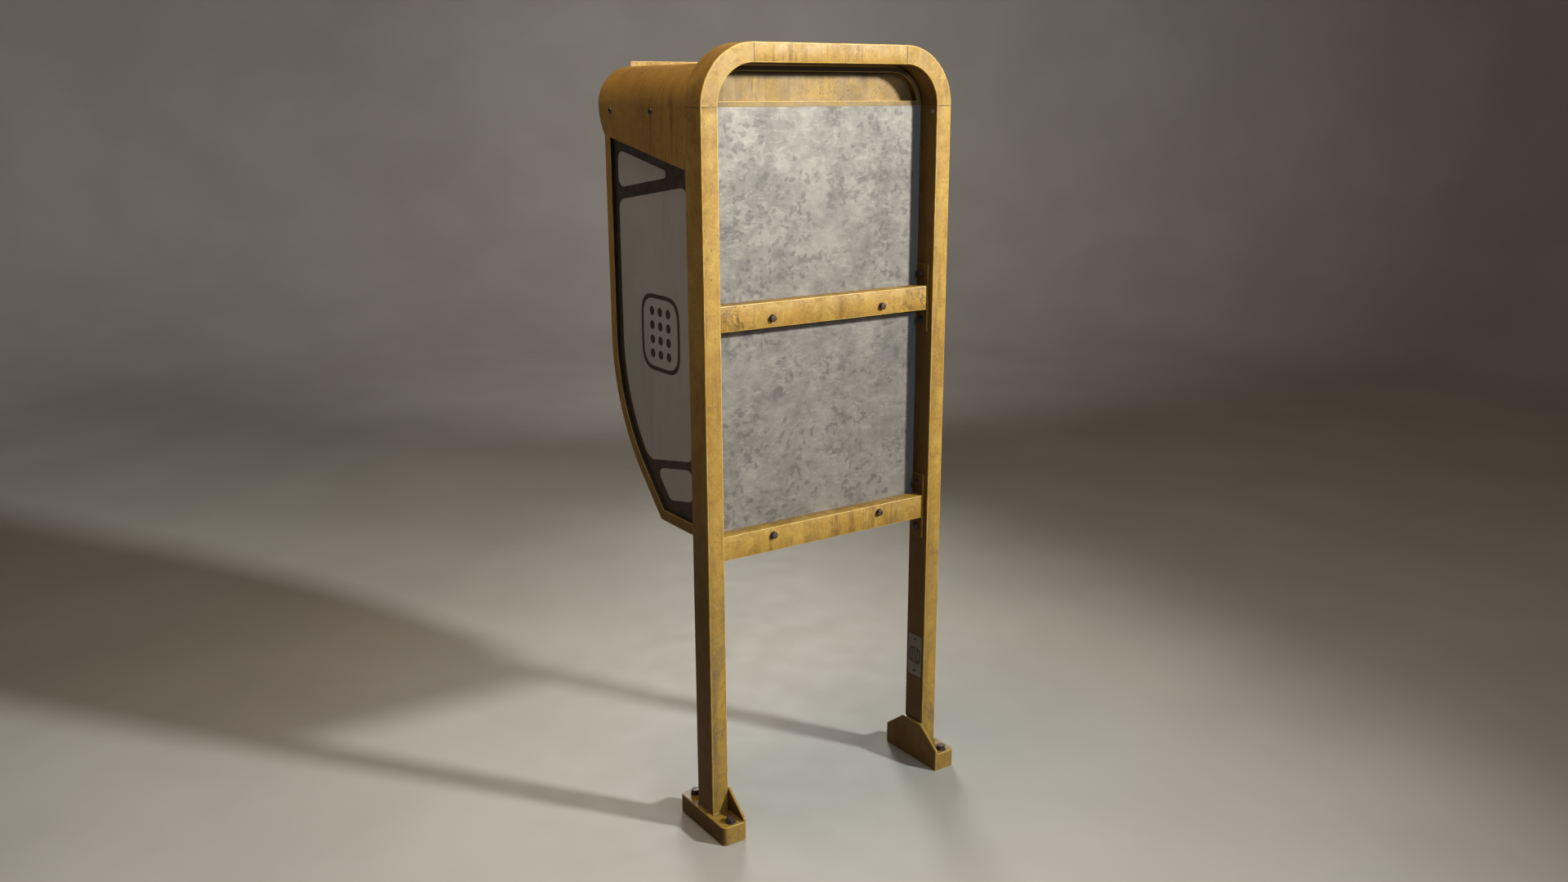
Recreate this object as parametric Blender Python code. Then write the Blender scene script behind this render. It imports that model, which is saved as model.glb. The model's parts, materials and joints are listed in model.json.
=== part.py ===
"""Two-post street payphone stand with a hood, glazed side panels and a wall phone.

Metres, +Z up.  The user stands on the -Y side; the posts' rear faces look along +Y.
Depths are given as "forward" distances from the posts' rear faces: see fwd().
"""
import bpy
import bmesh
from math import asin, cos, degrees, pi, radians, sin, sqrt
from mathutils import Matrix, Vector

COLLECTION = "payphone_stand"
OVERLAP = 0.0002                  # joined solids reach into each other by this
GAP = 0.0003                      # clearance between touching solids

# Frame: two posts, a rounded arch and two cross rails
WIDTH = 0.800                     # over the posts' outer faces
HEIGHT = 2.127
POST_X = 0.050                    # post section, side to side
POST_Y = 0.0826                   # post section, front to rear
TUBE_WALL = 0.003
ARCH_R = 0.157                    # outer radius of the arch's elbows
SEAM_Z = HEIGHT - ARCH_R          # joint between post and elbow
HALF = WIDTH / 2
INNER = HALF - POST_X             # the posts' inner faces
RAIL_HEIGHT = 0.068
RAIL_SETBACK = 0.018              # rail's rear face, forward of the posts'
RAIL_Z = {"middle": 1.4408, "lower": 0.8207}
RAIL_BOLT_Z = {"middle": 1.4313, "lower": 0.8323}
RAIL_BOLT_X = 0.182
END_PLATE = 0.005
END_PLATE_HEIGHT = 0.193

# Feet
FOOT_HEIGHT = 0.056
FOOT_OUTSIDE = 0.0136             # foot's side, beyond the post's outer face
FOOT_REAR = 0.078                 # reach behind the posts' rear faces
FOOT_FRONT = 0.162                # reach forward of the same plane
GUSSET = 0.009
GUSSET_HEIGHT = 0.125
GUSSET_END_HEIGHT = 0.066
ANCHOR_REAR = -0.058              # forward positions of the anchor bolts
ANCHOR_FRONT = 0.134
ANCHOR_AF = 0.024                 # across flats
BOLT_AF = 0.017
WASHER = 0.002
WASHER_REACH = 1.06               # washer's radius, in corner radii of the hexagon
BOLT_HEAD = 0.0075
ANCHOR_HEAD = 0.012

# Back: galvanised panel and the pressed tray above it
PANEL_PLANE = 0.0633              # rear face of the panel, forward of the posts'
PANEL_THICK = 0.0025
PANEL_HALF = 0.344
PANEL_BOTTOM = 0.796
TRAY_R = 0.101
TRAY_RIM = 0.0125
TRAY_DEPTH = 0.025
TRAY_SHEET = 0.002

# Hood
HOOD_TOP = 2.078
HOOD_R = 0.105
HOOD_SHEET = 0.002
HOOD_FRONT = 0.555
HOOD_EDGE_REAR_Z = 1.8166         # side skirt's lower edge where it meets the post
HOOD_EDGE_SLOPE = 0.1776
HOOD_NOSE_R = 0.140
HOOD_NOSE_Z = 1.985
HOOD_PANEL_BOTTOM = 1.950
SIGN_HALF = 0.295
SIGN_TOP = 2.092
SIGN_BOTTOM = 1.945
SIGN_THICK = 0.003

# Side trim, the channel that frames each side panel
TRIM_FRONT = 0.521
TRIM_ARC_Z = 1.345                # where the straight front edge starts to curve back
TRIM_ARC_R = 0.540
TRIM_BOTTOM = 0.855
TRIM_WIDTH = 0.030
TRIM_DEPTH = 0.024
TRIM_WALL = 0.002
SIDE_SHEET = 0.004
SIDE_RECESS = 0.010               # side panel's face, inside the trim's face
PANEL_EDGE = 0.012                # side panel's edge, inside the trim's outline
ARC_STEPS = 14

# Phone
PHONE_HALF = 0.150
PHONE_BOTTOM = 1.060
PHONE_TOP = 1.580
PHONE_FACE = 0.200                # forward position of the front plate's face
PHONE_WALL = 0.008
PHONE_EDGE_R = 0.006
BACKPLATE = 0.004
BACKPLATE_RIM = 0.008             # backplate, beyond the housing's sides
BACKPLATE_END = 0.012             # and beyond its top and bottom
BAY_SPLIT = 1.206                 # foot of the upper bay, over the coin vault
VAULT_TOP = 1.198                 # top of the lower bay
BAY_FLOOR = 0.003                 # the housing's rear sheet
FACE_THICK = 0.004
FACE_HALF = PHONE_HALF - PHONE_WALL - GAP
KEY_COLUMNS = (-0.020, 0.008, 0.036)
KEY_ROWS = (1.456, 1.429, 1.402, 1.375)
KEY_W = 0.021
KEY_H = 0.019
KEY_PROUD = 0.0032
KEY_BACK = 0.1900                 # forward position of a key's rear face
FIT = 0.0004                      # play round a key, button or window in the front plate
DISPLAY_X = (-0.040, 0.056)       # openings in the front plate
DISPLAY_Z = (1.512, 1.546)
COIN_X = (0.094, 0.128)
COIN_Z = (1.478, 1.552)
CARD_X = (-0.036, 0.052)
CARD_Z = (1.288, 1.328)
WINDOW_PLAY = 0.0003
COIN_SLOT_X = (0.1093, 0.1127)
COIN_SLOT_Z = (1.500, 1.534)
CARD_SLOT_X = (-0.021, 0.037)
CARD_SLOT_Z = (1.3065, 1.3095)
VOLUME = (0.111, 1.375)           # x, z
VOLUME_R = 0.0078
CUP_X = (0.0675, 0.1275)          # coin return cup, outside
CUP_Z = (1.2105, 1.2563)
CUP_BACK = 0.144
CUP_WALL = 0.002
HANDSET_X = -0.103
PRONG_OUT = 0.0185                # prong's middle line, from the handset's
PRONG_SLOT = 0.009                # width of the slots for the prongs
PRONG_SLOT_LOW = 1.4615
EAR_Z = 1.500
MOUTH_Z = 1.306
CUP_R = 0.029                     # ear and mouth cups
GRIP_HALF = 0.0133
GLAND_Z = 1.229
CRADLE_HALF = 0.036
CRADLE_Z = (1.262, 1.545)
CRADLE_FACE = 0.2093
PRONG_THICK = 0.005
PRONG_TOP = 1.4753
HOOK_AXIS = (0.186, 1.464)        # forward, z
FLAP_AXIS = (0.1980, 1.2515)      # forward, z
LOCK_Z = 1.1325
LOCK_R = 0.0118
SHELF_Z = 0.905
SHELF_SHEET = 0.003
SHELF_FRONT = 0.235
SHELF_HALF_BACK = 0.335           # half-width between the posts
SHELF_UPSTAND = 0.035
SHELF_LIP = 0.022

# The origin is the centre of the footprint, so the forward datum lies at DATUM_Y
SIGN_FRONT = HOOD_FRONT + GAP + SIGN_THICK
DATUM_Y = (SIGN_FRONT - FOOT_REAR) / 2

PAINT = ("yellow_paint", (0.55, 0.33, 0.07), 0.55, 0.0)
ZINC = ("galvanised_steel", (0.48, 0.45, 0.40), 0.45, 0.9)
RUST = ("rusty_bolt", (0.13, 0.09, 0.08), 0.7, 0.6)
PANEL_GREY = ("frosted_panel", (0.42, 0.38, 0.35), 0.45, 0.0)
DARK_METAL = ("dark_enamel", (0.06, 0.065, 0.07), 0.4, 0.0)
STEEL = ("brushed_steel", (0.50, 0.50, 0.49), 0.35, 1.0)
BLACK = ("black_plastic", (0.02, 0.02, 0.022), 0.35, 0.0)
KEY_METAL = ("key_metal", (0.56, 0.56, 0.55), 0.3, 1.0)
SMOKED = ("display_lens", (0.03, 0.05, 0.04), 0.1, 0.0)
OPAL = ("lamp_diffuser", (0.8, 0.8, 0.76), 0.4, 0.0)
LABEL = ("label_plate", (0.35, 0.31, 0.29), 0.45, 0.6)
RUBBER = ("black_rubber", (0.015, 0.015, 0.016), 0.8, 0.0)
BOARD = ("circuit_board", (0.03, 0.14, 0.06), 0.5, 0.0)


def fwd(distance):
    """World Y of a plane that lies this far forward of the posts' rear faces."""
    return DATUM_Y - distance


# ---------------------------------------------------------------- scene helpers

def clear_scene():
    for item in list(bpy.data.objects):
        bpy.data.objects.remove(item, do_unlink=True)


def get_collection(name):
    if name not in bpy.data.collections:
        bpy.context.scene.collection.children.link(bpy.data.collections.new(name))
    return bpy.data.collections[name]


def get_material(spec):
    name, colour, roughness, metallic = spec
    if name in bpy.data.materials:
        return bpy.data.materials[name]
    material = bpy.data.materials.new(name)
    material.use_nodes = True
    shader = material.node_tree.nodes["Principled BSDF"]
    shader.inputs["Base Color"].default_value = (*colour, 1.0)
    shader.inputs["Roughness"].default_value = roughness
    shader.inputs["Metallic"].default_value = metallic
    return material


def add_part(name, mesh, spec):
    part = bpy.data.objects.new(name, mesh)
    get_collection(COLLECTION).objects.link(part)
    mesh.materials.clear()
    mesh.materials.append(get_material(spec))
    return part


def box_mesh(x_range, f_range, z_range):
    """A box from ranges along X, forward distance and Z."""
    low = Vector((min(x_range), fwd(max(f_range)), min(z_range)))
    high = Vector((max(x_range), fwd(min(f_range)), max(z_range)))
    size = high - low
    bm = bmesh.new()
    bmesh.ops.create_cube(bm, size=1.0)
    bmesh.ops.transform(bm, verts=bm.verts, matrix=Matrix.Diagonal((*size, 1.0)))
    bmesh.ops.translate(bm, verts=bm.verts, vec=(low + high) / 2)
    return mesh_from(bm)


def mesh_from(bm):
    mesh = bpy.data.meshes.new("solid")
    bm.to_mesh(mesh)
    bm.free()
    return mesh


def cylinder_mesh(radius, depth, centre, axis, segments=24):
    """A cylinder whose middle is at centre (world coordinates), along axis."""
    bm = bmesh.new()
    bmesh.ops.create_cone(bm, cap_ends=True, segments=segments,
                          radius1=radius, radius2=radius, depth=depth)
    turn = Vector((0, 0, 1)).rotation_difference(Vector(axis)).to_matrix().to_4x4()
    bmesh.ops.transform(bm, verts=bm.verts, matrix=Matrix.Translation(centre) @ turn)
    return mesh_from(bm)


def outline_mesh(outlines, thickness, matrix):
    """A flat outline, with any holes as further outlines, given a thickness."""
    curve = bpy.data.curves.new("outline", "CURVE")
    curve.dimensions = "2D"
    curve.fill_mode = "BOTH"
    curve.extrude = thickness / 2
    for points in outlines:
        spline = curve.splines.new("POLY")
        spline.points.add(len(points) - 1)
        for point, (u, v) in zip(spline.points, points):
            point.co = (u, v, 0.0, 1.0)
        spline.use_cyclic_u = True
    holder = bpy.data.objects.new("outline", curve)
    bpy.context.scene.collection.objects.link(holder)
    holder.matrix_world = matrix
    bpy.context.view_layer.update()
    evaluated = holder.evaluated_get(bpy.context.evaluated_depsgraph_get())
    bm = bmesh.new()
    bm.from_mesh(bpy.data.meshes.new_from_object(evaluated))
    bmesh.ops.transform(bm, verts=bm.verts, matrix=matrix)
    bmesh.ops.remove_doubles(bm, verts=bm.verts, dist=1e-6)
    bmesh.ops.recalc_face_normals(bm, faces=bm.faces)
    bpy.data.objects.remove(holder, do_unlink=True)
    return mesh_from(bm)


def front_prism(outlines, f_range):
    """Outlines in (x, z), extruded between two forward distances."""
    middle = fwd(sum(f_range) / 2)
    matrix = Matrix.Translation((0, middle, 0)) @ Matrix.Rotation(pi / 2, 4, "X")
    return outline_mesh(outlines, abs(f_range[1] - f_range[0]), matrix)


def side_prism(outlines, x_range):
    """Outlines in (forward distance, z), extruded between two X planes."""
    flipped = [[(fwd(f), z) for f, z in points] for points in outlines]
    matrix = Matrix(((0, 0, 1, sum(x_range) / 2), (1, 0, 0, 0), (0, 1, 0, 0), (0, 0, 0, 1)))
    return outline_mesh(flipped, abs(x_range[1] - x_range[0]), matrix)


def rectangle(u_range, v_range):
    (u0, u1), (v0, v1) = u_range, v_range
    return [(u0, v0), (u1, v0), (u1, v1), (u0, v1)]


def arc(centre, radius, start, end, steps):
    """Points of a circular arc, angles in degrees."""
    angles = [radians(start + (end - start) * i / steps) for i in range(steps + 1)]
    return [(centre[0] + radius * cos(a), centre[1] + radius * sin(a)) for a in angles]


def rounded_rectangle(u_range, v_range, radius, steps=4):
    (u0, u1), (v0, v1) = u_range, v_range
    corners = [((u1 - radius, v1 - radius), 0), ((u0 + radius, v1 - radius), 90),
               ((u0 + radius, v0 + radius), 180), ((u1 - radius, v0 + radius), 270)]
    points = []
    for centre, start in corners:
        points += arc(centre, radius, start, start + 90, steps)
    return points


def combine(part, mesh, operation, solver):
    """Cut a mesh from the part, or join it on, with an applied Boolean."""
    tool = bpy.data.objects.new("tool", mesh)
    bpy.context.scene.collection.objects.link(tool)
    modifier = part.modifiers.new(operation.lower(), "BOOLEAN")
    modifier.operation = operation
    modifier.solver = solver
    modifier.object = tool
    apply_modifiers(part)
    bpy.data.objects.remove(tool, do_unlink=True)


def cut(part, *meshes, solver="EXACT"):
    for mesh in meshes:
        combine(part, mesh, "DIFFERENCE", solver)


def join(part, *meshes, solver="EXACT"):
    for mesh in meshes:
        combine(part, mesh, "UNION", solver)


def apply_modifiers(part):
    bpy.context.view_layer.update()
    evaluated = part.evaluated_get(bpy.context.evaluated_depsgraph_get())
    finished = bpy.data.meshes.new_from_object(evaluated)
    part.modifiers.clear()
    part.data = finished


def round_edges(part, width, chosen=lambda edge: True):
    """Bevel the edges that the chosen test picks, in two steps."""
    bm = bmesh.new()
    bm.from_mesh(part.data)
    edges = [edge for edge in bm.edges if chosen(edge)]
    bmesh.ops.bevel(bm, geom=edges, offset=width, segments=2, profile=0.5, affect="EDGES")
    bm.to_mesh(part.data)
    bm.free()


def along(axis):
    """A test for edges that run along one axis, 0 to 2."""
    def test(edge):
        direction = (edge.verts[0].co - edge.verts[1].co).normalized()
        return abs(direction[axis]) > 0.99
    return test


def around_front(part):
    """A test for the edges around the part's foremost face."""
    front = min(vertex.co.y for vertex in part.data.vertices)
    return lambda edge: all(vertex.co.y < front + 1e-5 for vertex in edge.verts)


def set_origin(part, point):
    """Move the part's origin to a world point and leave its shape where it is."""
    part.data.transform(Matrix.Translation(-Vector(point)))
    part.location = point


def mirrored(points):
    return [(-u, v) for u, v in reversed(points)]


# ------------------------------------------------------------------ the frame

def make_posts():
    for side, sign in (("right", 1), ("left", -1)):
        z_range = (FOOT_HEIGHT + GAP, SEAM_Z - GAP)
        post = add_part(f"post_{side}",
                        box_mesh((sign * INNER, sign * HALF), (0, POST_Y), z_range), PAINT)
        round_edges(post, 0.003, along(2))
        bore_x = (sign * (INNER + TUBE_WALL), sign * (HALF - TUBE_WALL))
        cut(post, box_mesh(bore_x, (TUBE_WALL, POST_Y - TUBE_WALL), (0, HEIGHT)))


def make_arch():
    centre_x = HALF - ARCH_R
    depth = (0, POST_Y)
    bore_depth = (TUBE_WALL, POST_Y - TUBE_WALL)
    for side, sign in (("right", 1), ("left", -1)):
        centre = (sign * centre_x, SEAM_Z)
        turn = (0, 90) if sign > 0 else (90, 180)
        outer = arc(centre, ARCH_R, *turn, ARC_STEPS)
        inner = arc(centre, ARCH_R - POST_X, *turn, ARC_STEPS)
        elbow = add_part(f"arch_elbow_{side}",
                         front_prism([outer + inner[::-1]], depth), PAINT)
        wide = (turn[0] - 1, turn[1] + 1)
        bore = (arc(centre, ARCH_R - TUBE_WALL, *wide, ARC_STEPS + 2)
                + arc(centre, ARCH_R - POST_X + TUBE_WALL, *wide, ARC_STEPS + 2)[::-1])
        cut(elbow, front_prism([bore], bore_depth))
    reach = centre_x - GAP
    rail = add_part("arch_top_rail",
                    box_mesh((-reach, reach), depth, (HEIGHT - POST_X, HEIGHT)), PAINT)
    round_edges(rail, 0.0025, along(0))
    cut(rail, box_mesh((-HALF, HALF), bore_depth,
                       (HEIGHT - POST_X + TUBE_WALL, HEIGHT - TUBE_WALL)))


def make_cross_rails():
    depth = (RAIL_SETBACK, PANEL_PLANE - GAP)
    for level, middle in RAIL_Z.items():
        reach = INNER - GAP
        z_range = (middle - RAIL_HEIGHT / 2, middle + RAIL_HEIGHT / 2)
        inner = reach - END_PLATE
        rail = add_part(f"rail_{level}", box_mesh((-inner, inner), depth, z_range), PAINT)
        round_edges(rail, 0.002, along(0))
        plate_z = (middle - END_PLATE_HEIGHT / 2, middle + END_PLATE_HEIGHT / 2)
        for sign in (1, -1):
            join(rail, box_mesh((sign * (inner - 0.0005), sign * reach), depth, plate_z))
        cut(rail, box_mesh((-HALF, HALF), (depth[0] + TUBE_WALL, depth[1] - TUBE_WALL),
                           (z_range[0] + TUBE_WALL, z_range[1] - TUBE_WALL)))
        for name, x in (("right", RAIL_BOLT_X), ("left", -RAIL_BOLT_X)):
            make_bolt(f"panel_bolt_{level}_{name}", (x, fwd(RAIL_SETBACK - GAP),
                      RAIL_BOLT_Z[level]), (0, 1, 0), BOLT_AF, BOLT_HEAD)


def make_bolt(name, seat, direction, across_flats, head):
    """A hex bolt head on its washer, sitting on the face at seat."""
    seat = Vector(seat)
    direction = Vector(direction)
    radius = across_flats / sqrt(3)
    bolt = add_part(name, cylinder_mesh(radius * WASHER_REACH, WASHER,
                    seat + direction * WASHER / 2, direction, 20), RUST)
    middle = seat + direction * (WASHER + head / 2 - OVERLAP)
    join(bolt, cylinder_mesh(radius, head, middle, direction, 6))


def make_feet():
    for side, sign in (("right", 1), ("left", -1)):
        outer = HALF + FOOT_OUTSIDE
        length = (-FOOT_REAR, FOOT_FRONT)
        corner = 0.014
        inside = INNER - GUSSET
        outline = ([(inside, fwd(-FOOT_REAR)), (inside, fwd(FOOT_FRONT))]
                   + arc((outer - corner, fwd(FOOT_FRONT) + corner), corner, -90, 0, 4)
                   + arc((outer - corner, fwd(-FOOT_REAR) - corner), corner, 0, 90, 4))
        outline = outline if sign > 0 else mirrored(outline)
        lift = Matrix.Translation((0, 0, FOOT_HEIGHT / 2))
        foot = add_part(f"foot_{side}", outline_mesh([outline], FOOT_HEIGHT, lift), PAINT)
        slope = [(length[0], 0.0), (length[1], 0.0), (length[1], GUSSET_END_HEIGHT),
                 (POST_Y, GUSSET_HEIGHT), (0.0, GUSSET_HEIGHT), (length[0], GUSSET_END_HEIGHT)]
        join(foot, side_prism([slope], (sign * inside, sign * (INNER - GAP))))
        centre_x = sign * (HALF - POST_X / 2 + 0.003)
        for end, place in (("rear", ANCHOR_REAR), ("front", ANCHOR_FRONT)):
            make_bolt(f"anchor_bolt_{side}_{end}", (centre_x, fwd(place), FOOT_HEIGHT + GAP),
                      (0, 0, 1), ANCHOR_AF, ANCHOR_HEAD)


# ------------------------------------------------------------ back panel and tray

def arch_outline(inset, bottom):
    """The arch-shaped outline inside the frame, shrunk by inset and cut off at bottom."""
    radius = TRAY_R - inset
    start = degrees(asin((bottom - SEAM_Z) / radius))
    right = arc((PANEL_HALF - TRAY_R, SEAM_Z), radius, start, 90, ARC_STEPS)
    return right + mirrored(right)


def make_back():
    add_part("back_panel", box_mesh((-PANEL_HALF, PANEL_HALF),
                     (PANEL_PLANE, PANEL_PLANE + PANEL_THICK),
                     (PANEL_BOTTOM, SEAM_Z - GAP)), ZINC)
    bottom = SEAM_Z
    tray = add_part("hood_back_tray", front_prism([arch_outline(0, bottom)],
                    (PANEL_PLANE, PANEL_PLANE + TRAY_DEPTH)), PAINT)
    recess = arch_outline(TRAY_RIM, bottom + TRAY_RIM)
    cut(tray, front_prism([recess], (0, PANEL_PLANE + TRAY_DEPTH - TRAY_SHEET)))
    hollow = TRAY_RIM - TRAY_SHEET
    behind = [arch_outline(TRAY_SHEET, bottom + TRAY_SHEET),
              arch_outline(hollow, bottom + hollow)]
    rim_depth = (PANEL_PLANE + TRAY_SHEET, PANEL_PLANE + TRAY_DEPTH + 0.01)
    cut(tray, front_prism(behind, rim_depth), solver="MANIFOLD")


# ----------------------------------------------------------------------- hood

def hood_section(inset):
    """Half-way round the hood's section from the right skirt to the left one."""
    radius = HOOD_R - inset
    centre = (HALF - HOOD_R, HOOD_TOP - HOOD_R)
    right = [(HALF - inset, HOOD_EDGE_REAR_Z - 0.05)] + arc(centre, radius, 0, 90, ARC_STEPS)
    return right + mirrored(right)


def hood_edge(forward):
    """Height of the skirt's lower edge at a forward distance."""
    return HOOD_EDGE_REAR_Z + HOOD_EDGE_SLOPE * (forward - POST_Y)


def make_hood():
    depth = (POST_Y + GAP, HOOD_FRONT)
    skin = hood_section(0) + hood_section(HOOD_SHEET)[::-1]
    shell = add_part("hood_shell", front_prism([skin], depth), PAINT)
    nose = (HOOD_FRONT - HOOD_NOSE_R, HOOD_NOSE_Z)
    start = -40.0
    below = [(0.0, hood_edge(0.0))] + arc(nose, HOOD_NOSE_R, start, 0, 8)
    below += [(HOOD_FRONT + 0.05, HOOD_NOSE_Z), (HOOD_FRONT + 0.05, 1.70), (0.0, 1.70)]
    cut(shell, side_prism([below], (-HALF - 0.02, HALF + 0.02)))
    inside = hood_section(HOOD_SHEET + GAP)
    inside = [(x, max(z, HOOD_PANEL_BOTTOM)) for x, z in inside]
    add_part("hood_front_panel",
             front_prism([inside], (HOOD_FRONT - 0.012, HOOD_FRONT - 0.010)), PAINT)
    add_part("sign_plate", box_mesh((-SIGN_HALF, SIGN_HALF), (HOOD_FRONT + GAP, SIGN_FRONT),
                                    (SIGN_BOTTOM, SIGN_TOP)), PAINT)
    lamp_z = HOOD_TOP - HOOD_SHEET - GAP
    lamp = add_part("hood_lamp", box_mesh((-0.24, 0.24), (0.260, 0.380),
                    (lamp_z - 0.038, lamp_z)), OPAL)
    round_edges(lamp, 0.008)


# ----------------------------------------------------------------- side panels

def side_path(inset):
    """The side's outline from the hood down and back to the post, (forward, z)."""
    front = TRIM_FRONT - inset
    top = (front, hood_edge(front) - GAP)
    bend = arc((TRIM_FRONT - TRIM_ARC_R, TRIM_ARC_Z), TRIM_ARC_R - inset, 0, -45, ARC_STEPS)
    floor = TRIM_BOTTOM + inset
    last = bend[-1]
    corner = (last[0] - (last[1] - floor), floor)
    return [top] + bend + [corner, (POST_Y + GAP, floor)]


def stretched(path, reach):
    """The same path, run on past both ends so that a cutter leaves them open."""
    first = (path[0][0], path[0][1] + reach)
    last = (path[-1][0] - reach, path[-1][1])
    return [first] + path + [last]


def make_sides():
    for side, sign in (("right", 1), ("left", -1)):
        make_side_trim(side, sign)
        outer = HALF - SIDE_RECESS
        path = side_path(PANEL_EDGE)
        top = hood_edge(path[0][0]) + 0.035
        rear_top = hood_edge(POST_Y) + 0.035
        outline = [(path[0][0], top)] + path + [(POST_Y + GAP, rear_top)]
        add_part(f"side_panel_{side}",
                 side_prism([outline], (sign * (outer - SIDE_SHEET), sign * outer)), PANEL_GREY)


def make_side_trim(side, sign):
    solid = side_path(0) + side_path(TRIM_WIDTH)[::-1]
    trim = add_part(f"side_trim_{side}",
                    side_prism([solid], (sign * HALF, sign * (HALF - TRIM_DEPTH))), PAINT)
    groove = (stretched(side_path(TRIM_WALL), 0.02)
              + stretched(side_path(TRIM_WIDTH + 0.01), 0.02)[::-1])
    inner = (sign * (HALF - TRIM_WALL), sign * (HALF - TRIM_DEPTH + TRIM_WALL))
    cut(trim, side_prism([groove], inner))
    make_side_seal(side, sign)


def make_side_seal(side, sign):
    """The rubber glazing channel that grips the side panel's edge inside the trim."""
    strip = side_path(TRIM_WALL + GAP) + side_path(TRIM_WIDTH - 0.0005)[::-1]
    faces = (HALF - TRIM_WALL - GAP, HALF - TRIM_DEPTH + TRIM_WALL + GAP)
    seal = add_part(f"side_seal_{side}",
                    side_prism([strip], (sign * faces[0], sign * faces[1])), RUBBER)
    slot = (stretched(side_path(PANEL_EDGE - GAP), 0.02)
            + stretched(side_path(TRIM_WIDTH + 0.01), 0.02)[::-1])
    outer = HALF - SIDE_RECESS
    grip = (outer + GAP, outer - SIDE_SHEET - GAP)
    cut(seal, side_prism([slot], (sign * grip[0], sign * grip[1])))


def make_shelf():
    half = HALF - TRIM_DEPTH - 0.002
    back = PANEL_PLANE + PANEL_THICK + GAP
    top = SHELF_Z + SHELF_SHEET
    shelf = add_part("shelf", box_mesh((-half, half), (POST_Y + 0.002, SHELF_FRONT),
                     (SHELF_Z, top)), PAINT)
    join(shelf, box_mesh((-half, half), (SHELF_FRONT - SHELF_SHEET, SHELF_FRONT),
                         (SHELF_Z - SHELF_LIP, top)),
         box_mesh((-SHELF_HALF_BACK, SHELF_HALF_BACK), (back, POST_Y + 0.003), (SHELF_Z, top)),
         box_mesh((-SHELF_HALF_BACK, SHELF_HALF_BACK), (back, back + SHELF_SHEET),
                  (SHELF_Z, SHELF_Z + SHELF_UPSTAND)))


def make_post_plate():
    add_part("post_plate", side_prism([rounded_rectangle((0.010, 0.070), (0.273, 0.406), 0.006)],
             (-INNER + GAP, -INNER + 0.0023)), LABEL)


# ---------------------------------------------------------------------- phone

def grown(span, by):
    """The range (low, high), widened by this much at both ends."""
    return (span[0] - by, span[1] + by)


def make_phone_body():
    back = PANEL_PLANE + PANEL_THICK + GAP
    wide = PHONE_HALF + BACKPLATE_RIM
    add_part("phone_backplate", box_mesh((-wide, wide), (back, back + BACKPLATE),
             grown((PHONE_BOTTOM, PHONE_TOP), BACKPLATE_END)), STEEL)
    rear = back + BACKPLATE + GAP
    housing = add_part("phone_housing", box_mesh((-PHONE_HALF, PHONE_HALF), (rear, PHONE_FACE),
                       (PHONE_BOTTOM, PHONE_TOP)), DARK_METAL)
    round_edges(housing, PHONE_EDGE_R)
    bay = PHONE_HALF - PHONE_WALL
    depth = (rear + BAY_FLOOR, PHONE_FACE + 0.1)
    cut(housing,
        box_mesh((-bay, bay), depth, (BAY_SPLIT, PHONE_TOP - PHONE_WALL)),
        box_mesh((-bay, bay), depth, (PHONE_BOTTOM + PHONE_WALL, VAULT_TOP)))


def make_face_plate():
    """The steel front, pierced for keys, display, coins, card, hook and coin return."""
    z_range = (BAY_SPLIT + GAP, PHONE_TOP - PHONE_WALL - GAP)
    half_w, half_h = KEY_W / 2 + FIT, KEY_H / 2 + FIT
    holes = [rectangle((x - half_w, x + half_w), (z - half_h, z + half_h))
             for x in KEY_COLUMNS for z in KEY_ROWS]
    holes += [rectangle(DISPLAY_X, DISPLAY_Z), rectangle(COIN_X, COIN_Z),
              rectangle(CARD_X, CARD_Z), arc(VOLUME, VOLUME_R + 0.0005, 0, 345, 23)]
    for x in (HANDSET_X - PRONG_OUT, HANDSET_X + PRONG_OUT):
        holes.append(rectangle(grown((x, x), PRONG_SLOT / 2), (PRONG_SLOT_LOW, 1.4800)))
    depth = (PHONE_FACE - FACE_THICK, PHONE_FACE)
    face = add_part("phone_front_plate", box_mesh((-FACE_HALF, FACE_HALF), depth, z_range), STEEL)
    cut(face, front_prism(holes, (depth[0] - 0.01, depth[1] + 0.01)))
    join(face, box_mesh(CUP_X, (CUP_BACK, PHONE_FACE - 0.002), CUP_Z))
    cut(face, box_mesh(grown(CUP_X, -CUP_WALL), (CUP_BACK + CUP_WALL, PHONE_FACE + 0.1),
                       grown(CUP_Z, -CUP_WALL)))


def make_keys():
    names = ("1", "4", "7", "star", "2", "5", "8", "0", "3", "6", "9", "hash")
    places = [(x, z) for x in KEY_COLUMNS for z in KEY_ROWS]
    for name, (x, z) in zip(names, places):
        key = add_part(f"key_{name}", box_mesh(grown((x, x), KEY_W / 2),
                       (KEY_BACK, PHONE_FACE + KEY_PROUD), grown((z, z), KEY_H / 2)), KEY_METAL)
        round_edges(key, 0.0016, around_front(key))
        set_origin(key, (x, fwd(PHONE_FACE), z))


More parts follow.
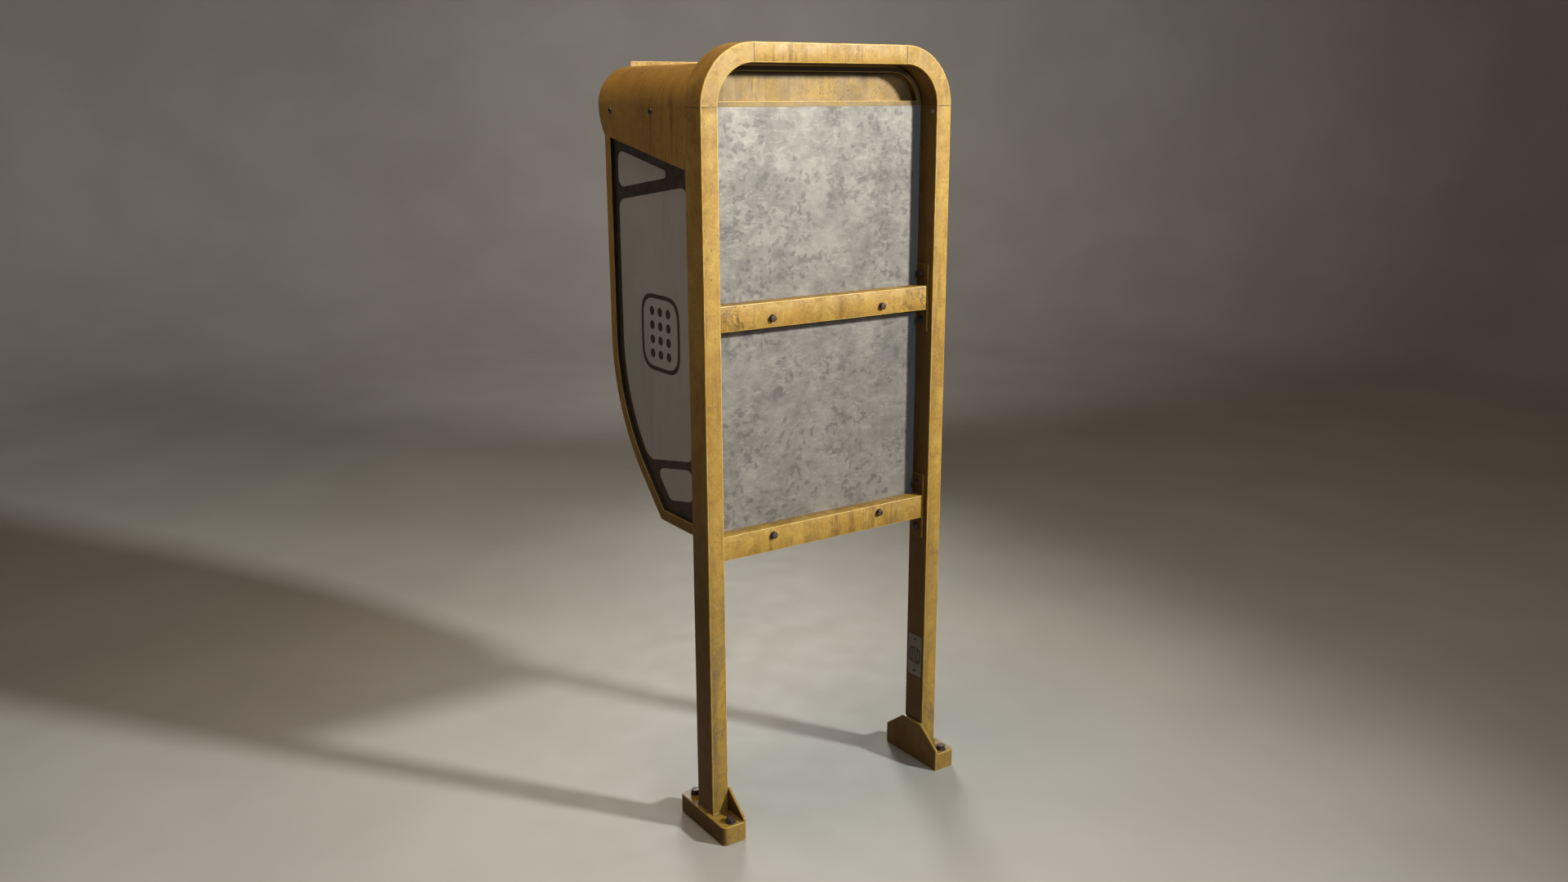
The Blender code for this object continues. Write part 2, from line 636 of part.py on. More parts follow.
def make_phone_fittings():
    under = PHONE_FACE - FACE_THICK
    add_part("display_window", box_mesh(grown(DISPLAY_X, -WINDOW_PLAY),
             (under - 0.012, PHONE_FACE - 0.001), grown(DISPLAY_Z, -WINDOW_PLAY)), SMOKED)
    add_part("coin_slot_plate", front_prism(
        [rectangle(grown(COIN_X, -WINDOW_PLAY), grown(COIN_Z, -WINDOW_PLAY)),
         rectangle(COIN_SLOT_X, COIN_SLOT_Z)], (under - 0.004, PHONE_FACE + 0.004)), KEY_METAL)
    reader = add_part("card_reader", box_mesh(grown(CARD_X, -WINDOW_PLAY),
                      (0.120, PHONE_FACE + 0.006), grown(CARD_Z, -WINDOW_PLAY)), BLACK)
    round_edges(reader, 0.004, around_front(reader))
    cut(reader, box_mesh(CARD_SLOT_X, (0.128, PHONE_FACE + 0.1), CARD_SLOT_Z))
    x, z = VOLUME
    button = add_part("volume_button", cylinder_mesh(VOLUME_R, 0.0135,
                      (x, fwd(PHONE_FACE - 0.0027), z), (0, 1, 0), 24), KEY_METAL)
    set_origin(button, (x, fwd(PHONE_FACE), z))
    make_inside_parts(under)
    length = 0.012
    gland = add_part("cord_gland", cylinder_mesh(0.011, length, (HANDSET_X,
                     fwd(PHONE_FACE + GAP + length / 2), GLAND_Z), (0, 1, 0), 20), KEY_METAL)
    cut(gland, cylinder_mesh(0.005, 0.02, (HANDSET_X, fwd(PHONE_FACE + 0.0163), GLAND_Z),
                             (0, 1, 0), 16))


def make_inside_parts(under):
    """The coin validator behind its slot, and the circuit board behind the keys."""
    validator = add_part("coin_validator", box_mesh((0.080, 0.134), (0.095, under - 0.008),
                         (1.395, 1.500)), BLACK)
    cut(validator, box_mesh((0.1085, 0.1135), (0.100, PHONE_FACE + 0.1), (1.402, 1.6)))
    add_part("circuit_board", box_mesh((-0.070, 0.072), (0.1815, 0.1835), (1.345, 1.565)), BOARD)


def make_coin_return_flap():
    play = 0.001
    flap = add_part("coin_return_flap", box_mesh(grown(CUP_X, -CUP_WALL - play),
                    (0.1965, 0.1995), (CUP_Z[0] + 0.0035, FLAP_AXIS[1] + 0.0012)), KEY_METAL)
    set_origin(flap, (sum(CUP_X) / 2, fwd(FLAP_AXIS[0]), FLAP_AXIS[1]))


def make_vault():
    play = 0.0008
    half = PHONE_HALF - PHONE_WALL - play
    low = PHONE_BOTTOM + PHONE_WALL + play
    high = VAULT_TOP - play
    rear, front = 0.188, 0.203
    door = add_part("vault_door", box_mesh((-half, half), (rear, front), (low, high)), DARK_METAL)
    round_edges(door, 0.002, around_front(door))
    cut(door, cylinder_mesh(LOCK_R + 0.0005, 0.05, (0, fwd(0.195), LOCK_Z), (0, 1, 0), 28))
    sheet = 0.0015
    wide, deep = (-0.125, 0.125), (0.085, rear - GAP)
    tray = add_part("coin_box", box_mesh(wide, deep, (low + 0.004, high - 0.012)), ZINC)
    cut(tray, box_mesh(grown(wide, -sheet), grown(deep, -sheet), (low + 0.004 + sheet, 1.3)))
    lock = add_part("vault_lock", cylinder_mesh(LOCK_R, 0.0145, (0, fwd(0.1975), LOCK_Z),
                    (0, 1, 0), 28), KEY_METAL)
    cut(lock, box_mesh((-0.0012, 0.0012), (0.199, 0.21), (LOCK_Z - 0.005, LOCK_Z + 0.005)))
    set_origin(lock, (0, fwd(front), LOCK_Z))


def make_handset_cradle():
    depth = (PHONE_FACE + GAP, CRADLE_FACE)
    outline = rounded_rectangle(grown((HANDSET_X, HANDSET_X), CRADLE_HALF), CRADLE_Z, 0.012)
    slots = [rectangle(grown((x, x), PRONG_SLOT / 2), (PRONG_SLOT_LOW, 1.4830))
             for x in (HANDSET_X - PRONG_OUT, HANDSET_X + PRONG_OUT)]
    add_part("handset_cradle", front_prism([outline] + slots, depth), BLACK)


def make_hook_lever():
    """A two-pronged lever; its pivot is inside the housing."""
    top = PRONG_TOP
    low = top - 0.0095
    rear, reach, tip = 0.188, 0.2555, 0.0042
    prong = [(rear, low), (reach, low), (reach, top + tip), (reach - 0.003, top + tip),
             (reach - 0.005, top), (rear, top)]
    x = HANDSET_X
    half = PRONG_THICK / 2
    hook = add_part("hook_lever", box_mesh(grown((x, x), PRONG_OUT + half), (0.178, 0.192),
                    (HOOK_AXIS[1] - 0.005, top)), KEY_METAL)
    for side in (-1, 1):
        join(hook, side_prism([prong], (x + side * (PRONG_OUT - half),
                                        x + side * (PRONG_OUT + half))))
    set_origin(hook, (x, fwd(HOOK_AXIS[0]), HOOK_AXIS[1]))


def make_handset():
    """A grip with an ear cup and a mouth cup behind it, and the cord's sleeve below."""
    x = HANDSET_X
    grip = [(0.246, 1.272), (0.256, 1.272), (0.268, 1.290), (0.272, 1.330), (0.272, 1.480),
            (0.268, 1.520), (0.256, 1.536), (0.246, 1.536), (0.246, 1.330), (0.246, 1.290)]
    handset = add_part("handset", side_prism([grip], grown((x, x), GRIP_HALF)), BLACK)
    middle = fwd(0.2295)
    for z in (EAR_Z, MOUTH_Z):
        join(handset, cylinder_mesh(CUP_R, 0.037, (x, middle, z), (0, 1, 0), 28))
    join(handset, cylinder_mesh(0.006, 0.020, (x, fwd(0.252), 1.266), (0, 0, 1), 14))
    set_origin(handset, (x, middle, EAR_Z))


def make_phone():
    make_phone_body()
    make_face_plate()
    make_keys()
    make_phone_fittings()
    make_coin_return_flap()
    make_vault()
    make_handset_cradle()
    make_hook_lever()
    make_handset()


def main():
    clear_scene()
    make_posts()
    make_arch()
    make_cross_rails()
    make_feet()
    make_back()
    make_hood()
    make_sides()
    make_shelf()
    make_post_plate()
    make_phone()


main()
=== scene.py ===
"""Street payphone stand, seen from behind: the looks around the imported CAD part.

Metres, +Z up.  The user stands on the -Y side and the posts' rear faces look along +Y.
A "forward" distance is measured from the posts' rear faces towards the user, see fwd().
"""
import json
from math import cos, pi, radians, sin, sqrt, tan
import bmesh
import bpy
from mathutils import Matrix, Vector

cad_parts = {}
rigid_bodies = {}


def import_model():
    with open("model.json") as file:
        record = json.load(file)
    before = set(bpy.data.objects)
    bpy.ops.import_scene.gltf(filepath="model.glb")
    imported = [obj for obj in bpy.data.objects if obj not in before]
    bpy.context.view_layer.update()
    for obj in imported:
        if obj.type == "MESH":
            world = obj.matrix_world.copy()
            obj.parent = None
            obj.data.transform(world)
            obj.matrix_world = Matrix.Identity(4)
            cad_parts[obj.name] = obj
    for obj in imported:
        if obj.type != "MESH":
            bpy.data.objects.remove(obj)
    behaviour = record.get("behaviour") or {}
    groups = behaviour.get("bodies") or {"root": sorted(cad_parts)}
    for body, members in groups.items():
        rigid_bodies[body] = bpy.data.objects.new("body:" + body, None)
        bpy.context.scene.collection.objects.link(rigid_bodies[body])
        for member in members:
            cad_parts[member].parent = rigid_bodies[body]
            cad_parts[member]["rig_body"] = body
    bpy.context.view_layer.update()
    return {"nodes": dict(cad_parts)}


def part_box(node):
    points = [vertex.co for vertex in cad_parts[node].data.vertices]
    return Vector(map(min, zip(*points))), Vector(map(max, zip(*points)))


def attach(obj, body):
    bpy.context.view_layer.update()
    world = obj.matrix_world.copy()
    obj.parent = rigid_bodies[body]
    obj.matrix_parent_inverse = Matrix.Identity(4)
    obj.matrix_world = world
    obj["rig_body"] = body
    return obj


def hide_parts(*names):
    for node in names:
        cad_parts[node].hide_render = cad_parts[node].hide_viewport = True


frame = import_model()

NODES = frame["nodes"]
POST_LOW, POST_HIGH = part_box("post_right")
REAR_Y = POST_HIGH.y  # the posts' rear faces
POST_DEPTH = POST_HIGH.y - POST_LOW.y
HALF = POST_HIGH.x  # the posts' outer faces
INNER = POST_LOW.x  # the posts' inner faces
SEAM_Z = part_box("arch_elbow_right")[0].z  # where the elbows stand on the posts
SEAM_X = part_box("arch_top_rail")[1].x  # where the elbows meet the top rail
SIDES = (("right", 1), ("left", -1))
WASHER = 0.0018  # thickness under a hex head


def fwd(distance):
    """World Y of a plane that lies this far forward of the posts' rear faces."""
    return REAR_Y - distance


# ---------------- node materials

class Surface:
    """One material, built from procedural nodes that read the piece's own coordinates."""

    def __init__(self, name):
        self.material = bpy.data.materials.new(name)
        self.material.use_nodes = True
        self.nodes = self.material.node_tree.nodes
        self.shader = self.nodes["Principled BSDF"]
        self.place = self.add("ShaderNodeTexCoord").outputs["Object"]
        split = self.add("ShaderNodeSeparateXYZ", Vector=self.place)
        self.x, self.y, self.z = split.outputs
        outward = self.add("ShaderNodeNewGeometry").outputs["Normal"]
        axes = self.add("ShaderNodeSeparateXYZ", Vector=outward).outputs
        self.normal_x, self.normal_z = axes[0], axes[2]

    def add(self, kind, settings=(), **inputs):
        node = self.nodes.new(kind)
        for key, value in dict(settings).items():
            setattr(node, key, value)
        for key, value in inputs.items():
            self.feed(node.inputs[key.replace("_", " ")], value)
        return node

    def feed(self, socket, value):
        if isinstance(value, bpy.types.NodeSocket):
            self.material.node_tree.links.new(value, socket)
        elif isinstance(value, tuple) and len(value) == 3 and socket.type == "RGBA":
            socket.default_value = (*value, 1.0)
        else:
            socket.default_value = value

    def math(self, operation, a, b=0.0):
        node = self.add("ShaderNodeMath", {"operation": operation})
        self.feed(node.inputs[0], a)
        self.feed(node.inputs[1], b)
        return node.outputs[0]

    def product(self, *values):
        result = values[0]
        for value in values[1:]:
            result = self.math("MULTIPLY", result, value)
        return result

    def plus(self, a, b):
        return self.math("ADD", a, b)

    def most(self, a, b):
        return self.math("MAXIMUM", a, b)

    def size(self, value):
        return self.math("ABSOLUTE", value)

    def vector(self, x, y, z):
        return self.add("ShaderNodeCombineXYZ", X=x, Y=y, Z=z).outputs[0]

    def scaled(self, x, y, z, place=None):
        node = self.add("ShaderNodeMapping", Vector=self.place if place is None else place)
        node.inputs["Scale"].default_value = (x, y, z)
        return node.outputs[0]

    def noise(self, scale, detail, rough=0.5, bend=0.0, place=None):
        return self.add("ShaderNodeTexNoise", Vector=self.place if place is None else place,
                        Scale=scale, Detail=detail, Roughness=rough,
                        Distortion=bend).outputs[0]

    def cells(self, scale, output, feature="F1", place=None):
        return self.add("ShaderNodeTexVoronoi", {"feature": feature},
                        Vector=self.place if place is None else place,
                        Scale=scale).outputs[output]

    def step(self, value, low, high, to_low=0.0, to_high=1.0):
        """A smooth rise from to_low to to_high while value goes from low to high."""
        node = self.add("ShaderNodeMapRange", {"interpolation_type": "SMOOTHSTEP"})
        for index, number in enumerate((value, low, high, to_low, to_high)):
            self.feed(node.inputs[index], number)
        return node.outputs[0]

    def spots(self, low, high, *noise):
        """Rises from 0 to 1 where noise goes from low to high."""
        return self.step(self.noise(*noise), low, high)

    def varied(self, scale, detail, low, high):
        """A value that wanders between low and high, for roughness."""
        return self.step(self.noise(scale, detail), 0.3, 0.7, low, high)

    def blend(self, share, a, b, mode="MIX"):
        node = self.add("ShaderNodeMix", {"data_type": "RGBA", "blend_type": mode})
        self.feed(node.inputs[0], share)
        self.feed(node.inputs[6], a)
        self.feed(node.inputs[7], b)
        return node.outputs[2]

    def over(self, colour, tone, value, low, high, share=1.0):
        """Lays tone over colour where value goes from low to high."""
        return self.blend(self.step(value, low, high, 0.0, share), colour, tone)

    def tint(self, colour, tone, *shares):
        """Lays tone over colour by the product of the shares."""
        return self.blend(self.product(*shares), colour, tone)

    def finish(self, colour, rough, height=None, bump=0.3, depth=0.0005, **constants):
        self.feed(self.shader.inputs["Base Color"], colour)
        self.feed(self.shader.inputs["Roughness"], rough)
        for key, value in constants.items():
            self.feed(self.shader.inputs[key.replace("_", " ")], value)
        if height is not None:
            node = self.add("ShaderNodeBump", Strength=bump, Distance=depth, Height=height)
            self.feed(self.shader.inputs["Normal"], node.outputs[0])
        return self.material


OCHRE = (0.434, 0.229, 0.031)
OCHRE_DEEP = (0.320, 0.158, 0.017)
OCHRE_PALE = (0.550, 0.335, 0.066)
EARTH = (0.198, 0.087, 0.009)
GREY_EARTH = (0.190, 0.130, 0.066)
SOOT = (0.050, 0.033, 0.015)
OLIVE = (0.245, 0.160, 0.026)
PLUM = (0.135, 0.088, 0.046)
PRIMER = (0.230, 0.165, 0.115)
UMBER = (0.092, 0.041, 0.003)


def paint(name, streak, stain, craze=0.0, inner_shade=0.0, mottle=1.0,
          round_flow=False, seams=False, hollow=False):
    """Weathered ochre paint: runs of brown dirt, soot, specks and a dirtier foot, with painted
    shade on inner faces, undersides and shaded outer flanks.
    """
    s = Surface(name)
    if round_flow:  # dirt runs round the hood's section
        down = s.math("SUBTRACT", s.z, s.size(s.x))
        flow = s.vector(s.y, s.product(down, 0.07), 0.0)
        fine = s.vector(s.y, s.product(down, 0.03), 0.5)
    else:
        flow, fine = s.scaled(1, 1, 0.07), s.scaled(1, 1, 0.025)
    low = s.step(s.z, 1.30, 0.10)
    colour = s.blend(s.spots(0.36, 0.66, 2.6, 4), OCHRE, OCHRE_DEEP)
    colour = s.over(colour, OCHRE_PALE, s.noise(15, 6, 0.66, 0.3), 0.40, 0.74, 0.55 * mottle)
    film = s.step(s.noise(31, 7, 0.74, 0.5), 0.46, 0.76, 0.0, 0.60 * mottle)
    colour = s.blend(film, colour, EARTH)
    grain = s.noise(130, 5, 0.75)
    colour = s.over(colour, EARTH, grain, 0.48, 0.78, 0.50 * mottle)
    colour = s.over(colour, OCHRE_PALE, grain, 0.50, 0.28, 0.40)
    patches = s.spots(0.40, 0.60, 4.3, 2, 0.5)
    runs = s.spots(0.52, 0.62, 38, 4.0, 0.66, 0.30, flow)
    ragged = s.step(s.noise(44, 5, 0.70), 0.30, 0.62, 0.45, 1.0)
    colour = s.tint(colour, EARTH, runs, patches, ragged, streak)
    threads = s.spots(0.54, 0.74, 120, 2.0, 0.5, 0.1, fine)
    colour = s.tint(colour, EARTH, threads, s.plus(patches, 0.25), streak * 0.6)
    soot = s.spots(0.52, 0.76, 11, 7, 0.72)
    colour = s.tint(colour, SOOT, soot, stain)
    colour = s.tint(colour, OLIVE, low, 0.45)
    smudge = s.spots(0.49, 0.64, 9, 8, 0.74, 0.6, s.scaled(1, 1, 0.55))
    scuff = s.step(s.noise(34, 8, 0.78, 0.3, s.scaled(1, 1, 0.6)), 0.50, 0.66, 0.0, 0.75)
    smudge = s.most(smudge, scuff)
    colour = s.tint(colour, PLUM, smudge, s.plus(low, 0.06), 0.76)
    if hollow:  # a tray: painted shadow along its top, painted shade towards its ends, grey-brown dirt in patches and low down
        # painted shade towards the elbows at both ends of the tray
        deep = s.step(s.size(s.x), SEAM_X + 0.020, INNER - 0.020)
        # painted shadow of the top rail across the tray's top
        top = s.step(s.plus(s.z, s.product(s.noise(21, 3), 0.02)), 2.040, 2.070)
        film = s.step(s.noise(7, 7, 0.72, 0.4, s.scaled(1, 1, 0.6)), 0.34, 0.62, 0.10, 0.75)
        foot = s.step(s.math("SUBTRACT", s.z, s.product(s.noise(16, 4), 0.05)),
                      1.985, 1.945, 0.0, 0.6)
        colour = s.blend(s.most(film, foot), colour, GREY_EARTH)
        colour = s.blend(s.most(top, s.product(deep, 0.6)), colour, SOOT)
    if craze:  # fine scribbled cracks near a rail's ends
        reach = s.product(s.step(s.size(s.x), INNER - 0.150, INNER - 0.060),
                          s.step(s.z, 0.90, 1.05, 0.12, 1.0))
        wave = s.noise(15, 4, 0.62, 1.5, s.scaled(1, 1, 0.8))
        line = s.step(s.size(s.math("SUBTRACT", wave, 0.5)), 0.022, 0.008)
        fill = s.step(wave, 0.50, 0.53, 0.0, 0.45)
        colour = s.tint(colour, EARTH, fill, reach, craze)
        colour = s.tint(colour, UMBER, line, reach, craze)
    specks = s.spots(0.64, 0.70, 230, 2, 0.5)
    where = s.step(s.noise(9, 2), 0.42, 0.60, 0.12, 1.0)
    colour = s.tint(colour, SOOT, specks, where, 0.85)
    # Faces in shade are darkened, to make up for light that the pale floor throws back.
    side = s.product(s.math("SIGN", s.x), s.normal_x)
    shade_per_post = s.step(s.x, -0.010, 0.010, 0.30, 1.0)  # painted shade is stronger on the right post
    flank = s.product(s.most(side, 0.0), s.step(s.z, 1.65, 0.45), shade_per_post, 0.93)
    # painted shade on faces that look inward and on undersides
    inward = s.product(side, s.step(s.z, 2.0, 0.5, 0.85, 1.20), -inner_shade)
    under = s.product(s.normal_z, -inner_shade)
    painted_shade = s.most(s.most(inward, under), flank)
    colour = s.blend(s.most(painted_shade, 0.0), colour, UMBER)
    if seams:  # dirt in the joints of the arch
        across = s.size(s.math("SUBTRACT", s.z, SEAM_Z))
        along = s.size(s.math("SUBTRACT", s.size(s.x), SEAM_X))
        gap = s.step(s.math("MINIMUM", across, along), 0.0022, 0.0008, 0.0, 0.90)
        colour = s.blend(gap, colour, SOOT)
    rough = s.varied(23, 4, 0.50, 0.64)
    rough = s.plus(rough, s.product(film, 0.15))
    rough = s.plus(rough, s.product(s.most(painted_shade, 0.0), 0.22))
    skin = s.plus(s.product(s.noise(420, 2), 0.5), s.product(specks, -0.8))
    return s.finish(colour, rough, skin, 0.25, 0.0004, Specular_IOR_Level=0.48)


def edge_paint(name):
    """Paint on an edge: golden and pale by turns, with short gaps down to the primer; the pale
    golden edge is partly worn paint, partly a painted highlight.
    """
    s = Surface(name)
    rub = s.spots(0.38, 0.62, 26, 4, 0.6)
    colour = s.blend(rub, (0.500, 0.270, 0.024), (0.600, 0.400, 0.120))
    colour = s.over(colour, OLIVE, s.z, 1.20, 0.10, 0.45)
    chip = s.spots(0.62, 0.70, 75, 3, 0.6)
    colour = s.tint(colour, PRIMER, chip, 0.7)
    return s.finish(colour, s.varied(60, 3, 0.40, 0.55), chip, 0.2, 0.0003)


def galvanised(name):
    """Hot-dip zinc: fine clouds, wisps, small angular flakes and drawn streaks."""
    s = Surface(name)
    broad = s.spots(0.32, 0.68, 3.6, 4, 0.6)
    colour = s.blend(broad, (0.175, 0.151, 0.133), (0.222, 0.192, 0.168))
    cloud = s.noise(14, 9, 0.74, 0.35)
    colour = s.over(colour, (0.302, 0.262, 0.229), cloud, 0.46, 0.68, 0.75)
    colour = s.over(colour, (0.114, 0.098, 0.088), cloud, 0.49, 0.33, 0.65)
    bend = s.add("ShaderNodeTexNoise", Vector=s.place, Scale=40.0, Detail=5.0)
    bent = s.blend(0.030, s.place, bend.outputs["Color"], "ADD")
    flake = s.add("ShaderNodeSeparateColor", Color=s.cells(74, "Color", place=bent)).outputs[0]
    dark = s.product(s.step(flake, 0.76, 0.80), s.spots(0.44, 0.54, 9, 3), 0.60)
    colour = s.blend(dark, colour, (0.099, 0.084, 0.078))
    wisp = s.noise(42, 8, 0.78, 0.4, s.scaled(0.50, 1, 1))
    colour = s.over(colour, (0.330, 0.285, 0.247), wisp, 0.49, 0.68, 0.62)
    colour = s.over(colour, (0.108, 0.093, 0.083), wisp, 0.47, 0.33, 0.50)
    drawn = s.noise(150, 3, 0.6, 0.3, s.scaled(0.28, 1, 1))
    pale = s.product(s.step(drawn, 0.55, 0.68), s.spots(0.40, 0.58, 6, 2), 0.32)
    colour = s.blend(pale, colour, (0.403, 0.348, 0.299))
    rim = s.step(s.x, 0.034 - INNER, 0.026 - INNER, 0.0, 0.8)  # painted shadow: blue-grey where the left post's shadow falls on the panel's edge
    colour = s.blend(rim, colour, (0.148, 0.192, 0.210))
    rough = s.step(cloud, 0.3, 0.7, 0.62, 0.48)
    return s.finish(colour, rough, s.noise(85, 6, 0.74), 0.12, 0.0005, Metallic=0.30)


def rusty(name):
    s = Surface(name)
    colour = s.blend(s.spots(0.36, 0.64, 95, 5, 0.7), (0.036, 0.024, 0.024),
                     (0.100, 0.060, 0.050))
    colour = s.over(colour, (0.36, 0.27, 0.22), s.noise(210, 3, 0.6), 0.62, 0.72)
    return s.finish(colour, s.varied(140, 3, 0.42, 0.78),
                    s.noise(330, 4, 0.7), 0.45, 0.0006, Metallic=0.45)


def frosted(name):
    """Frosted side panel: warm grey with faint runs and specks."""
    s = Surface(name)
    colour = s.blend(s.spots(0.35, 0.68, 3.2, 4, 0.6), (0.460, 0.416, 0.397),
                     (0.529, 0.483, 0.460))
    # painted shade: darker towards the bottom
    colour = s.over(colour, (0.300, 0.262, 0.238), s.z, 1.60, 0.95, 0.5)
    runs = s.spots(0.52, 0.74, 24, 4, 0.6, 0.2, s.scaled(1, 1, 0.10))
    colour = s.tint(colour, (0.218, 0.178, 0.155), runs, 0.30)
    spots = s.product(s.spots(0.66, 0.74, 70, 3, 0.6), s.spots(0.5, 0.6, 8, 2))
    colour = s.tint(colour, (0.121, 0.092, 0.078), spots, 0.5)
    return s.finish(colour, s.varied(18, 4, 0.42, 0.58), s.noise(500, 2), 0.05, 0.0002)


def printed(name):
    s = Surface(name)
    colour = s.blend(s.spots(0.42, 0.72, 30, 5, 0.65), (0.036, 0.0175, 0.0085),
                     (0.058, 0.032, 0.0175))
    return s.finish(colour, s.varied(40, 3, 0.48, 0.66), s.noise(300, 3), 0.08, 0.0002)


def plastic(name, tone, rough, grain=900):
    """Moulded plastic or rubber: fine grain, dust in it, a slight change of gloss."""
    s = Surface(name)
    dust = tuple(min(1.0, c * 1.6 + 0.018) for c in tone)
    colour = s.blend(s.step(s.noise(35, 5, 0.7), 0.48, 0.78, 0.0, 0.55), tone, dust)
    return s.finish(colour, s.step(s.noise(12, 4), 0.3, 0.7, rough, rough + 0.16),
                    s.noise(grain, 2), 0.12, 0.0003)


def steel(name, tone, rough, along="x"):
    """Brushed stainless steel with wear and finger marks."""
    s = Surface(name)
    stretch = (0.02, 1, 1) if along == "x" else (1, 1, 0.02)
    grain = s.noise(600, 3, 0.6, 0, s.scaled(*stretch))
    dark = tuple(c * 0.72 for c in tone)
    colour = s.blend(s.step(grain, 0.3, 0.7), dark, tone)
    marks = s.spots(0.50, 0.74, 28, 5, 0.7)
    colour = s.tint(colour, (0.20, 0.17, 0.14), marks, 0.28)
    return s.finish(colour, s.plus(s.step(grain, 0.3, 0.7, rough, rough + 0.14),
                                   s.product(marks, 0.14)),
                    grain, 0.10, 0.0003, Metallic=0.95)


def enamel(name, tone):
    """Hammered dark enamel on the telephone's armoured case."""
    s = Surface(name)
    dents = s.cells(150, "Distance", "SMOOTH_F1")
    pale = tuple(c * 1.7 + 0.01 for c in tone)
    colour = s.blend(s.step(dents, 0.1, 0.6), tone, pale)
    colour = s.over(colour, EARTH, s.noise(13, 6, 0.7), 0.58, 0.80, 0.5)
    return s.finish(colour, s.varied(30, 3, 0.34, 0.50), dents, 0.35, 0.0005)


def board(name):
    s = Surface(name)
    tracks = s.step(s.cells(230, "Distance", "DISTANCE_TO_EDGE"), 0.06, 0.10)
    colour = s.blend(tracks, (0.22, 0.15, 0.05), (0.018, 0.105, 0.040))
    return s.finish(colour, s.varied(60, 2, 0.35, 0.5), tracks, 0.2, 0.0002)


def opal(name):
    s = Surface(name)
    colour = s.blend(s.spots(0.45, 0.75, 14, 5, 0.7), (0.80, 0.79, 0.73),
                     (0.62, 0.58, 0.48))
    ribs = s.math("SINE", s.product(s.x, 2 * pi / 0.006))
    return s.finish(colour, s.varied(30, 2, 0.30, 0.42), ribs, 0.25, 0.0006,
                    Subsurface_Weight=0.15)


PAINT = paint("paint_plain", 0.45, 0.10)
PAINT_TOP = paint("paint_top_rail", 0.80, 0.10, inner_shade=0.6, seams=True)
PAINT_ARCH = paint("paint_arch", 0.50, 0.05, inner_shade=0.9, seams=True)
PAINT_POST = paint("paint_posts", 0.60, 0.12, inner_shade=0.8, mottle=1.15, seams=True)
PAINT_RAIL = paint("paint_rails", 0.95, 0.18, craze=0.85, inner_shade=0.80, mottle=1.4)
PAINT_HOOD = paint("paint_hood", 0.95, 0.10, mottle=0.6, round_flow=True)
PAINT_TRAY = paint("paint_tray", 0.95, 0.75, inner_shade=0.8, mottle=1.2, hollow=True)
PAINT_FOOT = paint("paint_feet", 0.40, 0.55, inner_shade=0.6, mottle=1.3)
PAINT_EDGE = edge_paint("paint_edge")
ZINC = galvanised("galvanised")
RUST = rusty("rusty_bolt")
FROSTED = frosted("frosted_panel")
PRINT = printed("panel_print")
RUBBER = plastic("rubber", (0.010, 0.010, 0.010), 0.62, 700)
BLACK = plastic("black_plastic", (0.016, 0.016, 0.018), 0.34)
STEEL = steel("steel_face", (0.270, 0.265, 0.252), 0.50)
KEY_STEEL = steel("key_metal", (0.50, 0.49, 0.465), 0.32, "z")
LABEL = plastic("label_plate", (0.150, 0.122, 0.108), 0.50, 500)
ENAMEL = enamel("dark_enamel", (0.030, 0.034, 0.038))
LENS = plastic("display_lens", (0.008, 0.014, 0.011), 0.08, 300)
BOARD = board("circuit_board")
DARK_STEEL = steel("dark_steel", (0.120, 0.112, 0.105), 0.34)
PALE_STEEL = steel("pale_steel", (0.420, 0.400, 0.370), 0.42)
OPAL = opal("lamp_diffuser")
INK = plastic("ink", (0.012, 0.010, 0.010), 0.5, 500)
SIGNAL = plastic("lcd_segments", (0.20, 0.24, 0.17), 0.4, 400)
GREEN = plastic("green_light", (0.030, 0.210, 0.045), 0.20, 300)

LOOKS = {"galvanised": ZINC, "rusty_bolt": RUST, "frosted_panel": FROSTED, "rubber": RUBBER,
         "label": LABEL, "lamp": OPAL, "dark_enamel": ENAMEL, "steel_face": STEEL,
         "black_plastic": BLACK, "display": LENS, "board": BOARD, "key_metal": KEY_STEEL}


def slot_of(material):
    """The CAD's slot that wears this material; every other one counts as paint."""
    return next((slot for slot, look in LOOKS.items() if look == material), "paint")


# ---------------- mesh helpers

def shown(name, data):
    """A new object in the scene."""
    thing = bpy.data.objects.new(name, data)
    bpy.context.scene.collection.objects.link(thing)
    return thing


def piece(name, mesh, material, slot=None, body="stand"):
    """A finished piece that rides on a body; slot is not used."""
    thing = shown(name, mesh)
    if material is not None:
        mesh.materials.clear()
        mesh.materials.append(material)
    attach(thing, body)
    if slot is None:
        slot = slot_of(material)
    return thing


def from_bmesh(bm, name, smooth=True):
    bmesh.ops.recalc_face_normals(bm, faces=bm.faces[:])
    mesh = bpy.data.meshes.new(name)
    bm.to_mesh(mesh)
    bm.free()
    soften(mesh, smooth)
    return mesh


def soften(mesh, smooth=True, angle=35):
    mesh.polygons.foreach_set("use_smooth", [smooth] * len(mesh.polygons))
    if smooth:
        mesh.set_sharp_from_angle(angle=radians(angle))
    mesh.update()


def narrow(face, limit):
    """A long strip no wider than limit: an edge that the CAD has already rounded."""
    length = max(edge.calc_length() for edge in face.edges)
    return face.calc_area() / length < limit and length > 6 * limit


